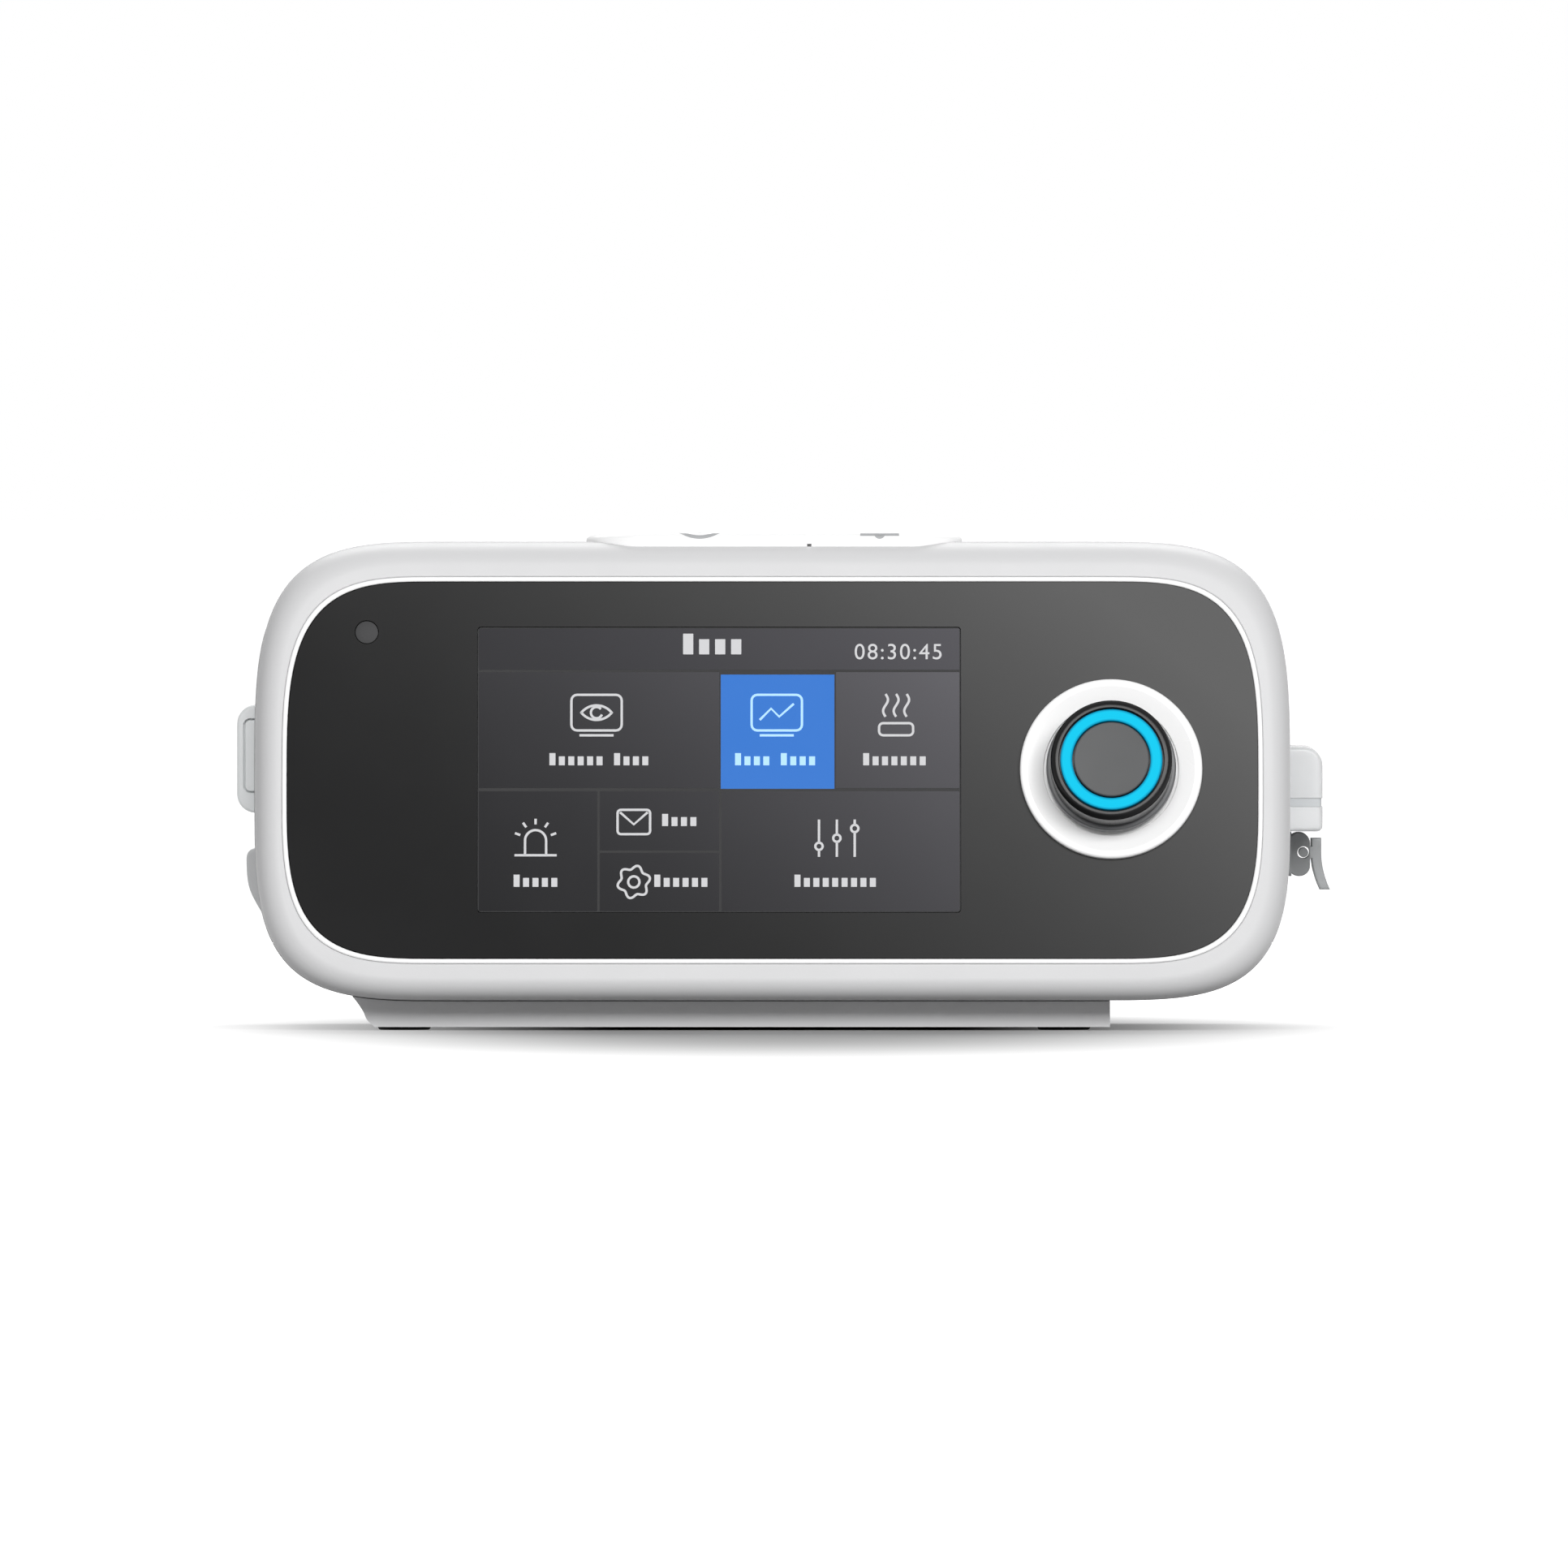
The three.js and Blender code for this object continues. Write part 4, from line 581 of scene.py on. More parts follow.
# %% The keys' pocket
KEY_PLAY = 0.00015
KEY_SINK = 0.0007
KEY_LOW = TOP - KEY_SINK
KEY_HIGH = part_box("power_button")[1][2]
KEY_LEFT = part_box("power_button")[0][0]
KEY_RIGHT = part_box("mute_button")[1][0]
KEY_DEEP = 0.024
KEY_SETBACK = 0.0029
KEY_NEAR = leaning_y(TOP) + KEY_SETBACK
KEY_FAR = KEY_NEAR + KEY_DEEP
KEY_SKIRT = 0.0006
KEY_ROOM = 0.00075
POCKET_FLOOR = KEY_LOW - KEY_SKIRT - KEY_ROOM
NEARLY_HALF_SHARE = 0.499
PILL_STEPS = 20


def key_pocket():
    """The pill-shaped room that the keys move in."""
    low = (KEY_LEFT - KEY_PLAY, KEY_NEAR - KEY_PLAY, POCKET_FLOOR)
    high = (KEY_RIGHT + KEY_PLAY, KEY_FAR + KEY_PLAY, KEY_HIGH + BACK_ROUND)
    return block(low, high, "z", (high[1] - low[1]) * NEARLY_HALF_SHARE, corner_steps=PILL_STEPS)


# %% The front frame
FRAME_DEPTH = 0.008
FRAME_EDGE_INSET = 0.00012
FRAME_ROUND = 0.0052
ROUND_POWER = 0.85
ROUND_STEPS = 12
TRIM_WIDTH = 0.0011
LEDGE_DEPTH = 0.0044
LEDGE_BACK = 0.0064
LEDGE_REACH = 0.0034
LIP = 0.0002
SNUG = 0.00005
opening = TRIM_WIDTH + SNUG
inside = housing_outline(WALL + FRAME_EDGE_INSET)
ledge = [(opening, LEDGE_DEPTH), (-LEDGE_REACH, LEDGE_DEPTH), (-LEDGE_REACH, LEDGE_BACK)]
rings = []
for inwards, upwards in quarter_turn(ROUND_STEPS):
    outline = housing_outline(FRAME_EDGE_INSET + FRAME_ROUND * inwards)
    rings.append(on_front(outline, FRAME_DEPTH * (1 - upwards**ROUND_POWER)))
for margin, behind in [(opening + LIP, 0), (opening, LIP), *ledge]:
    rings.append(on_front(panel_outline(margin), behind))
rings += [on_front(inside, LEDGE_BACK), on_front(inside, FRAME_DEPTH)]
front_frame = made_piece("front_frame", skin(rings, closed=True))
dressed(carved(front_frame, key_pocket()), "shell_white", "front_bezel")

# %% [markdown]
# ## The bright trim and the dark panel
# A thin bright line runs all round the panel. It is a trim ring of its own, half round on top, with a
# ledge that the panel is bonded to. The panel is a flat plate with a fine bevel and three openings:
# for the screen, for the knob's collar and for the light sensor.

# %% Trim ring
TRIM_PROUD = 0.00035
TRIM_LEDGE = 0.0026
PANEL_THICKNESS = 0.0016
TRIM_STEPS = 8
rings = [on_front(panel_outline(TRIM_WIDTH), LEDGE_DEPTH - GAP)]
for step in range(TRIM_STEPS + 1):
    turn = step / TRIM_STEPS * math.pi
    margin = (TRIM_WIDTH + SNUG) / 2 + (TRIM_WIDTH - SNUG) / 2 * math.cos(turn)
    rings.append(on_front(panel_outline(margin), -TRIM_PROUD * math.sin(turn)))
seat = PANEL_THICKNESS + GAP
for margin, behind in ((SNUG, seat), (-TRIM_LEDGE, seat), (-TRIM_LEDGE, LEDGE_DEPTH - GAP)):
    rings.append(on_front(panel_outline(margin), behind))
dressed(made_piece("trim_ring", skin(rings, closed=True)), "trim_white", "panel_trim")

# %% [markdown]
# ## Turned pieces
# The knob, its collar and the pins are round, so each is a cross-section spun about an axis. The
# corners of a cross-section are rounded before the spin, because light catches every real edge in a
# thin line.

# %% Spin a rounded cross-section
SPIN_STEPS = 96
ARC_STEPS = 5


def rounded_profile(points):
    """Rounds the corners of a run of (radius, height, fillet) points."""
    run = []
    for index, (x, z, fillet) in enumerate(points):
        corner = Vector((x, z))
        if fillet <= 0:
            run.append(corner)
            continue
        before = (Vector(points[index - 1][:2]) - corner).normalized()
        after = (Vector(points[(index + 1) % len(points)][:2]) - corner).normalized()
        half_angle = before.angle(after) / 2
        centre = corner + (before + after).normalized() * fillet / math.sin(half_angle)
        start = corner + before * fillet / math.tan(half_angle) - centre
        end = corner + after * fillet / math.tan(half_angle) - centre
        for step in range(ARC_STEPS + 1):
            run.append(centre + start.lerp(end, step / ARC_STEPS).normalized() * fillet)
    return run


def turned(name, points, place, closed=False, steps=SPIN_STEPS):
    """Spins a rounded cross-section about its own z axis and puts it in place."""
    bm = bmesh.new()
    verts = [bm.verts.new((radius, 0, height)) for radius, height in rounded_profile(points)]
    for first, second in zip(verts, verts[1:] + (verts[:1] if closed else [])):
        bm.edges.new((first, second))
    bmesh.ops.spin(
        bm, geom=list(bm.verts) + list(bm.edges), cent=(0, 0, 0), axis=(0, 0, 1),
        angle=math.tau, steps=steps, use_merge=True,
    )
    bmesh.ops.transform(bm, matrix=place, verts=bm.verts)
    return made_piece(name, bm)


def disc(radius, low, high, place, steps=SPIN_STEPS):
    """A plain round piece between two heights, to cut or to join with."""
    points = [(0, low, 0), (radius, low, 0), (radius, high, 0), (0, high, 0)]
    return turned("disc", points, place, steps=steps)


# %% Front panel with its openings
KNOB_INSET = 0.0335
KNOB_RISE = 0.0001
SCREEN_LEFT = 0.0434
SCREEN_RIGHT = 0.0677
SCREEN_TOP = 0.00965
SCREEN_BOTTOM = 0.00985
SENSOR_INSET = 0.0182
SENSOR_DROP = 0.0109
SENSOR_RADIUS = 0.0026
SENSOR_STEPS = 48
COLLAR_RADIUS = 0.0208
COLLAR_LIP = 0.0016
PANEL_EDGE = 0.00015
SCREEN_CORNER = 0.0008
panel_top = PANEL_HIGH / 2
screen_left = SCREEN_LEFT - PANEL_HALF
screen_right = PANEL_HALF - SCREEN_RIGHT
screen_low = SCREEN_BOTTOM - panel_top
screen_high = panel_top - SCREEN_TOP
knob_place = face_place @ Matrix.Translation((PANEL_HALF - KNOB_INSET, KNOB_RISE, 0))
sensor_place = face_place @ Matrix.Translation((SENSOR_INSET - PANEL_HALF, panel_top - SENSOR_DROP, 0))
through = (-FRAME_DEPTH, FRAME_DEPTH)
low = (screen_left, screen_low, -FRAME_DEPTH)
high = (screen_right, screen_high, FRAME_DEPTH)
plate = made_piece("dark_panel", skin([
    on_front(panel_outline(0), PANEL_THICKNESS),
    on_front(panel_outline(0), PANEL_EDGE),
    on_front(panel_outline(-PANEL_EDGE), 0),
]))
carved(plate, block(low, high, "z", SCREEN_CORNER, place=face_place))
carved(plate, disc(COLLAR_RADIUS - COLLAR_LIP, *through, knob_place))
carved(plate, disc(SENSOR_RADIUS + GAP / 2, *through, sensor_place, SENSOR_STEPS))
dressed(plate, "panel_black", "front_panel")

# %% Light sensor
LENS_DEPTH = 0.0014
LENS_DOME = 0.00012
lens = [
    (0, -LENS_DEPTH, 0),
    (SENSOR_RADIUS, -LENS_DEPTH, 0),
    (SENSOR_RADIUS, -LENS_DOME, LENS_DOME),
    (SENSOR_RADIUS / 2, 0, 0),
    (0, 0, 0),
]
dressed(turned("light_sensor", lens, sensor_place, steps=SENSOR_STEPS), "lens_grey", "sensor_lens")

# %% [markdown]
# ## The knob
# The knob is a stack. A white collar with a shallow dish fills a round opening in the panel. In the
# dish turns a grey skirt, and on it a tall black grip with a lit cyan ring and a flat grey cap in its
# end. The ring is a moulded light guide, so it glows by itself. Its glow fades close to its two rims,
# where the light leaks less. The distance from the knob's axis is the length of a cross product.

# %% The ring's light
RING_INNER = 0.0089
RING_OUTER = 0.01165
RING_LEVELS = (0, 120, 160)
RING_LIGHT = (0, 172, 192)
RING_DARK = (0, 40, 52)
RING_GLOW = 1.0
RING_FADE = 0.0006
ring = moulded("ring_cyan", RING_LEVELS, 0.35, grain=0.000002, tone=0.02, sheen=0, gloss=0.03)
tree = ring.node_tree
knob_axis = knob_place.to_3x3() @ Vector((0, 0, 1))
place = add_node(tree, "TexCoord", {}, "Object")
from_knob = vector_math(tree, "SUBTRACT", place, knob_place.translation)
sideways = vector_math(tree, "CROSS_PRODUCT", from_knob, knob_axis)
off_axis = add_node(tree, "VectorMath", {0: sideways}, "Value", operation="LENGTH")
from_inner, from_outer = [
    add_node(tree, "MapRange", {"Value": off_axis, "From Min": rim, "From Max": rim + fade})
    for rim, fade in ((RING_INNER, RING_FADE), (RING_OUTER, -RING_FADE))
]
lit = add_node(tree, "Math", {0: from_inner, 1: from_outer}, operation="MULTIPLY")
light = blended(tree, lit, colour(RING_DARK), colour(RING_LIGHT))
on_surface(ring, {"Emission Color": light, "Emission Strength": RING_GLOW})

# %% Collar, skirt, grip, light ring and cap
KNOB_STEPS = 128
COLLAR_HEIGHT = 0.0017
COLLAR_FILLET = 0.0007
LIP_FILLET = 0.0006
DISH_RADIUS = 0.0154
DISH_DROP = 0.001
WELL_DEPTH = 0.0004
HUB_DEPTH = 0.004
COLLAR_BORE = 0.0054
GRIP_RADIUS = 0.0139
GRIP_LOW = 0.0043
GRIP_HIGH = 0.01285
GRIP_EDGE = 0.0013
GRIP_SEAT = 0.0104
GRIP_FACE = 0.01195
GRIP_BORE = 0.0033
SKIRT_RADIUS = 0.0148
SKIRT_LOW = 0.0015
SKIRT_EDGE = 0.0005
RING_PROUD = 0.00005
CAP_RADIUS = 0.0086
CAP_CROWN = 0.00035
FINE_EDGE = 0.0002
hub = COLLAR_RADIUS - COLLAR_LIP - GAP
skirt_high = GRIP_LOW - GAP
ring_low = GRIP_SEAT + GAP
ring_high = GRIP_HIGH + RING_PROUD
collar = [
    (COLLAR_BORE, -HUB_DEPTH, 0),
    (hub, -HUB_DEPTH, 0),
    (hub, GAP, 0),
    (COLLAR_RADIUS, GAP, 0),
    (COLLAR_RADIUS, COLLAR_HEIGHT, COLLAR_FILLET),
    (COLLAR_RADIUS - COLLAR_LIP, COLLAR_HEIGHT, LIP_FILLET),
    (DISH_RADIUS, COLLAR_HEIGHT - DISH_DROP, FINE_EDGE),
    (DISH_RADIUS, -WELL_DEPTH, 0),
    (COLLAR_BORE, -WELL_DEPTH, 0),
]
skirt = [
    (GRIP_BORE, SKIRT_LOW, 0),
    (SKIRT_RADIUS, SKIRT_LOW, FINE_EDGE),
    (SKIRT_RADIUS, skirt_high, SKIRT_EDGE),
    (GRIP_BORE, skirt_high, 0),
]
grip = [
    (GRIP_BORE, GRIP_LOW, 0),
    (GRIP_RADIUS, GRIP_LOW, FINE_EDGE),
    (GRIP_RADIUS, GRIP_HIGH, GRIP_EDGE),
    (GRIP_FACE, GRIP_HIGH, FINE_EDGE),
    (GRIP_FACE, GRIP_SEAT, 0),
    (GRIP_BORE, GRIP_SEAT, 0),
]
light_ring = [
    (RING_INNER, ring_low, 0),
    (RING_OUTER, ring_low, 0),
    (RING_OUTER, ring_high, FINE_EDGE),
    (RING_INNER, ring_high, FINE_EDGE),
]
cap = [
    (0, ring_low, 0),
    (CAP_RADIUS, ring_low, 0),
    (CAP_RADIUS, GRIP_HIGH + CAP_CROWN, CAP_CROWN),
    (0, GRIP_HIGH + CAP_CROWN, 0),
]
for name, points, finish, node in (
    ("white_collar", collar, "collar_white", "knob_collar"),
    ("grey_skirt", skirt, "skirt_grey", "knob_skirt"),
    ("black_grip", grip, "grip_black", "knob_grip"),
    ("cyan_ring", light_ring, "ring_cyan", "knob_light_ring"),
):
    dressed(turned(name, points, knob_place, closed=True, steps=KNOB_STEPS), finish, node)
dressed(turned("grey_cap", cap, knob_place), "cap_grey", "knob_cap")

# %% [markdown]
# ## Keys on top
# One long pill, split in two, rises a little out of the housing. Its crown is a quarter round:
# outlines drawn in step by step while they rise. Below the crown, each half hangs straight down into
# the pocket, with a skirt that closes the slit under it.

# %% The two keys
KEY_CROWN_ALONG = 0.0048
KEY_CROWN_ACROSS = 0.0012
KEY_SIDE = 0.0011
KEY_CROWN_STEPS = 9
KEY_ACROSS_POWER = 0.8
SYMBOL_PROUD = 0.00005
SPLIT_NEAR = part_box("power_button")[1][0]
SPLIT_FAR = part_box("mute_button")[0][0]
crown_top = KEY_HIGH - SYMBOL_PROUD
shoulder = KEY_LOW + KEY_SIDE


def pill_ring(along, across, height):
    """The keys' outline from above, drawn in along and across, at a height."""
    radius = KEY_DEEP / 2 - across
    middle = (KEY_NEAR + KEY_FAR) / 2
    half_turns = [step / PILL_STEPS * math.pi - math.pi / 2 for step in range(PILL_STEPS + 1)]
    points = []
    for centre, side in ((KEY_RIGHT - along - radius, 1), (KEY_LEFT + along + radius, -1)):
        for turn in half_turns:
            reach = Vector((math.cos(turn), math.sin(turn), 0)) * side * radius
            points.append(Vector((centre, middle, height)) + reach)
    return points


def crown_place(inwards, upwards):
    """How far the crown is drawn in across, and its height, from a quarter turn's shares."""
    return KEY_CROWN_ACROSS * inwards**KEY_ACROSS_POWER, shoulder + (crown_top - shoulder) * upwards


def key_half(name, left, right, node):
    """The part of the pill between two places across."""
    rings = [pill_ring(0, 0, KEY_LOW - KEY_SKIRT)]
    for inwards, upwards in quarter_turn(KEY_CROWN_STEPS):
        rings.append(pill_ring(KEY_CROWN_ALONG * inwards, *crown_place(inwards, upwards)))
    low = (left, KEY_NEAR - KEY_SIDE, KEY_LOW - KEY_SIDE)
    high = (right, KEY_FAR + KEY_SIDE, KEY_HIGH + KEY_SIDE)
    side = block(low, high, "z", FINE_EDGE)
    dressed(carved(made_piece(name, skin(rings)), side, operation="INTERSECT"), "key_white", node)


key_half("power_key", KEY_LEFT - KEY_SIDE, SPLIT_NEAR, "power_button")
key_half("mute_key", SPLIT_FAR, KEY_RIGHT + KEY_SIDE, "mute_button")

# %% [markdown]
# ## The screen
# The screen is drawn as its maker would draw it: in dots, on a sheet of 596 by 353. A few flat tiles lie
# on the dark glass, each a thin slab, and on the tiles lie line symbols. The symbols are curves with a
# round stroke, turned into meshes and pressed flat. Words are left out: short rows of blocks stand in
# for them, and a clock shows plain numerals.

# %% Screen glass and tiles
SCREEN_DOTS = (596, 353)
SCREEN_DEPTH = 0.0013
GLASS_LEVEL = -0.00012
TILE_LEVEL = -0.00008
SYMBOL_LEVEL = -0.00003
SLAB_SINK = 0.00004
TILE_CORNER = 0.00006
TILE_STEPS = 4
SCREEN_GLOW = 0.5
GLOWING = {"tile_blue": (12, 90, 168), "symbol_white": (172, 172, 174), "symbol_pale_blue": (150, 190, 226)}
dot_across = (screen_right - screen_left) / SCREEN_DOTS[0]
dot_down = (screen_high - screen_low) / SCREEN_DOTS[1]
for name, levels in GLOWING.items():
    made = moulded(name, levels, 0.3, grain=0.000001, tone=0.01, sheen=0.02, gloss=0.1)
    on_surface(made, {"Emission Color": colour(levels), "Emission Strength": SCREEN_GLOW})


def at_dot(across, down):
    """A place on the screen, from dots counted from its upper left corner, in the face's own frame."""
    return screen_left + across * dot_across, screen_high - down * dot_down


def slab(left, top, right, bottom, level, corner):
    """A thin rounded slab on the screen between two corners given in dots."""
    x_low, y_high = at_dot(left, top)
    x_high, y_low = at_dot(right, bottom)
    low, high = (x_low, y_low, level - SLAB_SINK), (x_high, y_high, level)
    return rounded_block(low, high, "z", corner, place=face_place, corner_steps=TILE_STEPS)


def merged(name, parts):
    """Joins several bmeshes into one piece."""
    whole = bmesh.new()
    for part in parts:
        mesh = bpy.data.meshes.new("part")
        part.to_mesh(mesh)
        part.free()
        whole.from_mesh(mesh)
        bpy.data.meshes.remove(mesh)
    return made_piece(name, whole)


low = (screen_left + PANEL_EDGE, screen_low + PANEL_EDGE, -SCREEN_DEPTH)
high = (screen_right - PANEL_EDGE, screen_high - PANEL_EDGE, GLASS_LEVEL)
glass = block(low, high, "z", SCREEN_CORNER, name="screen_glass", place=face_place)
dressed(glass, "screen_glass", "display_window")
DARK_TILES = [
    (2, 56, 298, 199),
    (442, 56, 594, 199),
    (2, 203, 148, 351),
    (151, 203, 298, 276),
    (151, 279, 298, 351),
    (301, 203, 594, 351),
]
for name, finish, places in (
    ("screen_tiles", "tile_dark", DARK_TILES),
    ("screen_header", "tile_header", [(2, 2, 594, 53)]),
    ("screen_blue_tile", "tile_blue", [(300, 59, 440, 200)]),
):
    slabs = [slab(*place, TILE_LEVEL, TILE_CORNER) for place in places]
    added_detail(merged(name, slabs), finish, "display_window")

# %% Strokes for the symbols
STROKE = 3.0
CURVE_STEPS = 16
FRAME_STEPS = 4
QUARTER = 90
FLATTEN = 0.02


def arc(centre, radius, start, end, steps=CURVE_STEPS, upwards=-1):
    """Points along an arc, its turns in degrees. Dots are counted downwards, so upwards is -1 there."""
    turns = [math.radians(start + (end - start) * step / steps) for step in range(steps + 1)]
    x, y = centre
    return [(x + radius * math.cos(turn), y + upwards * radius * math.sin(turn)) for turn in turns]


def rounded_frame(x, y, half_wide, half_high, corner):
    """Dots round a rectangle with rounded corners, about (x, y)."""
    run = []
    for quarter, (side, down) in enumerate(((1, -1), (-1, -1), (-1, 1), (1, 1))):
        centre = (x + side * (half_wide - corner), y + down * (half_high - corner))
        run += arc(centre, corner, QUARTER * quarter, QUARTER * (quarter + 1), FRAME_STEPS)
    return run


def drawn(name, data):
    """The mesh of a curve or a text as a bmesh."""
    drawing = bpy.data.objects.new(name, data)
    scene.collection.objects.link(drawing)
    bm = bmesh.new()
    bm.from_mesh(finished_mesh(drawing))
    bpy.data.objects.remove(drawing)
    return bm


def pressed_strokes(name, strokes, placed, width, level, rounding=1):
    """Draws strokes as round curves, presses them flat and places them. Each is (points, closed)."""
    data = bpy.data.curves.new(name, "CURVE")
    data.dimensions = "3D"
    data.bevel_depth = width / 2
    data.bevel_resolution = rounding
    data.use_fill_caps = True
    for points, closed in strokes:
        spline = data.splines.new("POLY")
        spline.points.add(len(points) - 1)
        for point, (x, y) in zip(spline.points, points):
            point.co = (x, y, 0, 1)
        spline.use_cyclic_u = closed
    bm = drawn(name, data)
    bmesh.ops.transform(bm, matrix=Matrix.Scale(FLATTEN, 4, (0, 0, 1)), verts=bm.verts)
    bmesh.ops.translate(bm, vec=(0, 0, level - width / 2 * FLATTEN), verts=bm.verts)
    bmesh.ops.transform(bm, matrix=placed, verts=bm.verts)
    return bm


def screen_strokes(name, strokes):
    """Strokes given in dots, pressed onto the screen."""
    placed = [([at_dot(*point) for point in points], closed) for points, closed in strokes]
    return pressed_strokes(name, placed, face_place, STROKE * dot_across, SYMBOL_LEVEL)


# %% [markdown]
# ## Line symbols
# Each symbol is a handful of strokes: a screen with an eye, a screen with a rising line, warm air over
# a plate, a ringing lamp, an envelope, a gear and three sliders. All are plain pictograms. Their
# sizes are in dots from the symbol's middle, and their turns in degrees.

# %% Draw the symbols
def small_screen(x, y):
    """A small screen on a foot."""
    half_wide, half_high, corner, foot_reach, foot_drop = 31, 22, 7, 21, 6
    foot_y = y + half_high + foot_drop
    return [
        (rounded_frame(x, y, half_wide, half_high, corner), True),
        ([(x - foot_reach, foot_y), (x + foot_reach, foot_y)], False),
    ]


def eye(x, y):
    """Two arcs that meet, and an open ring between them."""
    arm, lift, pupil = 24, 15, 7
    upper = arc((x, y + lift), arm, 36, 144)
    lower = arc((x, y - lift), arm, 216, 324)
    return [(upper, False), (lower, False), (arc((x, y), pupil, 40, 340), False)]


def gear(x, y):
    """Six soft lobes round a ring."""
    middle_radius, lobe, ring_radius, lobes = 18, 2.4, 7, 6
    points = []
    for step in range(CURVE_STEPS * lobes):
        turn = step / (CURVE_STEPS * lobes) * math.tau
        radius = middle_radius + lobe * math.cos(lobes * turn + math.pi / 2)
        points.append((x + radius * math.cos(turn), y + radius * math.sin(turn)))
    return [(points, True), (arc((x, y), ring_radius, 0, 350), True)]


def warm_air(x, y):
    """Three wavy lines over a rounded plate."""
    top, tall, sway, spread = -25, 28, 3, 13
    plate_drop, plate_half, plate_tall, corner = 18.5, 21, 7.5, 5
    strokes = []
    for side in (-1, 0, 1):
        shares = [step / CURVE_STEPS for step in range(CURVE_STEPS + 1)]
        track = x + side * spread
        wave = [(track + sway * math.sin(share * math.tau), y + top + tall * share) for share in shares]
        strokes.append((wave, False))
    return strokes + [(rounded_frame(x, y + plate_drop, plate_half, plate_tall, corner), True)]


def ringing_lamp(x, y):
    """A dome on a line with five rays."""
    dome, drop, lift, line_reach, ray_start, ray_end = 13, 21, 3, 26, 20, 27
    centre, base = (x, y + lift), y + drop
    arch = [(x - dome, base)] + arc(centre, dome, 180, 0) + [(x + dome, base)]
    strokes = [(arch, False), ([(x - line_reach, base), (x + line_reach, base)], False)]
    for turn in (20, 55, 90, 125, 160):
        ray = [arc(centre, reach, turn, turn, 1)[0] for reach in (ray_start, ray_end)]
        strokes.append((ray, False))
    return strokes


def envelope(x, y):
    """A frame with a folded flap."""
    half_wide, half_high, corner, fold, inset = 20, 15, 4, 3, 3
    side, top = half_wide - inset, y - half_high + inset
    flap = [(x - side, top), (x, y + fold), (x + side, top)]
    return [(rounded_frame(x, y, half_wide, half_high, corner), True), (flap, False)]


def sliders(x, y):
    """Three upright tracks, each with a round handle at another height."""
    spread, reach, handle = 22, 23, 4.5
    strokes = []
    for side, height in ((-1, 10), (0, 0), (1, -12)):
        track, middle = x + side * spread, y + height
        strokes.append(([(track, y - reach), (track, middle - handle)], False))
        strokes.append(([(track, middle + handle), (track, y + reach)], False))
        strokes.append((arc((track, middle), handle, 0, 345), True))
    return strokes


def rising_line(x, y):
    """A line that climbs in two steps."""
    return [([(x + across, y + down) for across, down in ((-21, 9), (-7, -5), (3, 5), (21, -11))], False)]


WHITE_SYMBOLS = [
    (small_screen, (147, 106)),
    (eye, (147, 106)),
    (warm_air, (516, 108)),
    (ringing_lamp, (72, 261)),
    (envelope, (193, 241)),
    (gear, (193, 315)),
    (sliders, (443, 261)),
]
BLUE_SYMBOLS = [(small_screen, (369, 106)), (rising_line, (369, 106))]

# %% Stand-ins for words, and the clock
LETTER_WIDE = 7.4
LETTER_STEP = 11.6
LETTER_HIGH = 11
CAPITAL_HIGH = 15
SPACE = 10
PLAIN_SIZE = 1.0
TITLE_SIZE = 1.7
CLOCK_HIGH = 27.5
CLOCK_SPREAD = 1.14
CLOCK_AT = (519, 40)
CLOCK_TEXT = "08:30:45"
# Each row has its middle in dots, the letter count of each word, and its size
WHITE_ROWS = [
    ((152, 171), (6, 4), PLAIN_SIZE),
    ((516, 171), (7,), PLAIN_SIZE),
    ((74, 321), (5,), PLAIN_SIZE),
    ((251, 246), (4,), PLAIN_SIZE),
    ((253, 321), (6,), PLAIN_SIZE),
    ((443, 321), (9,), PLAIN_SIZE),
    ((293, 34), (4,), TITLE_SIZE),
]
BLUE_ROWS = [((369, 171), (4, 4), PLAIN_SIZE)]


def word_row(centre, words, size):
    """Blocks in place of letters: the first of each word is as tall as a capital."""
    wide = (sum(words) * LETTER_STEP + (len(words) - 1) * SPACE) * size
    x, base = centre[0] - wide / 2, centre[1]
    blocks = []
    for count in words:
        for letter in range(count):
            top = base - (LETTER_HIGH if letter else CAPITAL_HIGH) * size
            blocks.append(slab(x, top, x + LETTER_WIDE * size, base, SYMBOL_LEVEL, TILE_CORNER * size))
            x += LETTER_STEP * size
        x += SPACE * size
    return blocks


def clock_numerals():
    """The clock's text as a thin mesh on the screen."""
    data = bpy.data.curves.new("clock", "FONT")
    data.body = CLOCK_TEXT
    data.size = CLOCK_HIGH * dot_down
    data.align_x = "CENTER"
    data.space_character = CLOCK_SPREAD
    data.extrude = SLAB_SINK / 2
    bm = drawn("clock", data)
    bmesh.ops.translate(bm, vec=(*at_dot(*CLOCK_AT), SYMBOL_LEVEL - SLAB_SINK / 2), verts=bm.verts)
    bmesh.ops.transform(bm, matrix=face_place, verts=bm.verts)
    return bm


for name, finish, symbols, rows, others in (
    ("screen_symbols", "symbol_white", WHITE_SYMBOLS, WHITE_ROWS, [clock_numerals()]),
    ("screen_blue_symbols", "symbol_pale_blue", BLUE_SYMBOLS, BLUE_ROWS, []),
):
    strokes = [stroke for draw, place in symbols for stroke in draw(*place)]
    parts = [screen_strokes(name, strokes), *others]
    parts += [row_block for row in rows for row_block in word_row(*row)]
    added_detail(merged(name, parts), finish, "display_window")
    print(name, len(strokes), "strokes", len(rows), "rows")

# %% [markdown]
# ## The two shells
# The housing is a tube of thin wall, split level into an upper and a lower shell. Both are cut from the
# same smooth body: the outer body less the same body drawn in by the wall. The upper shell opens for
# the keys, the filter door, the port flap, the rear panel and the tank. What stands inside the solids,
# such as bosses and pads, is taken over from a copy of their meshes.

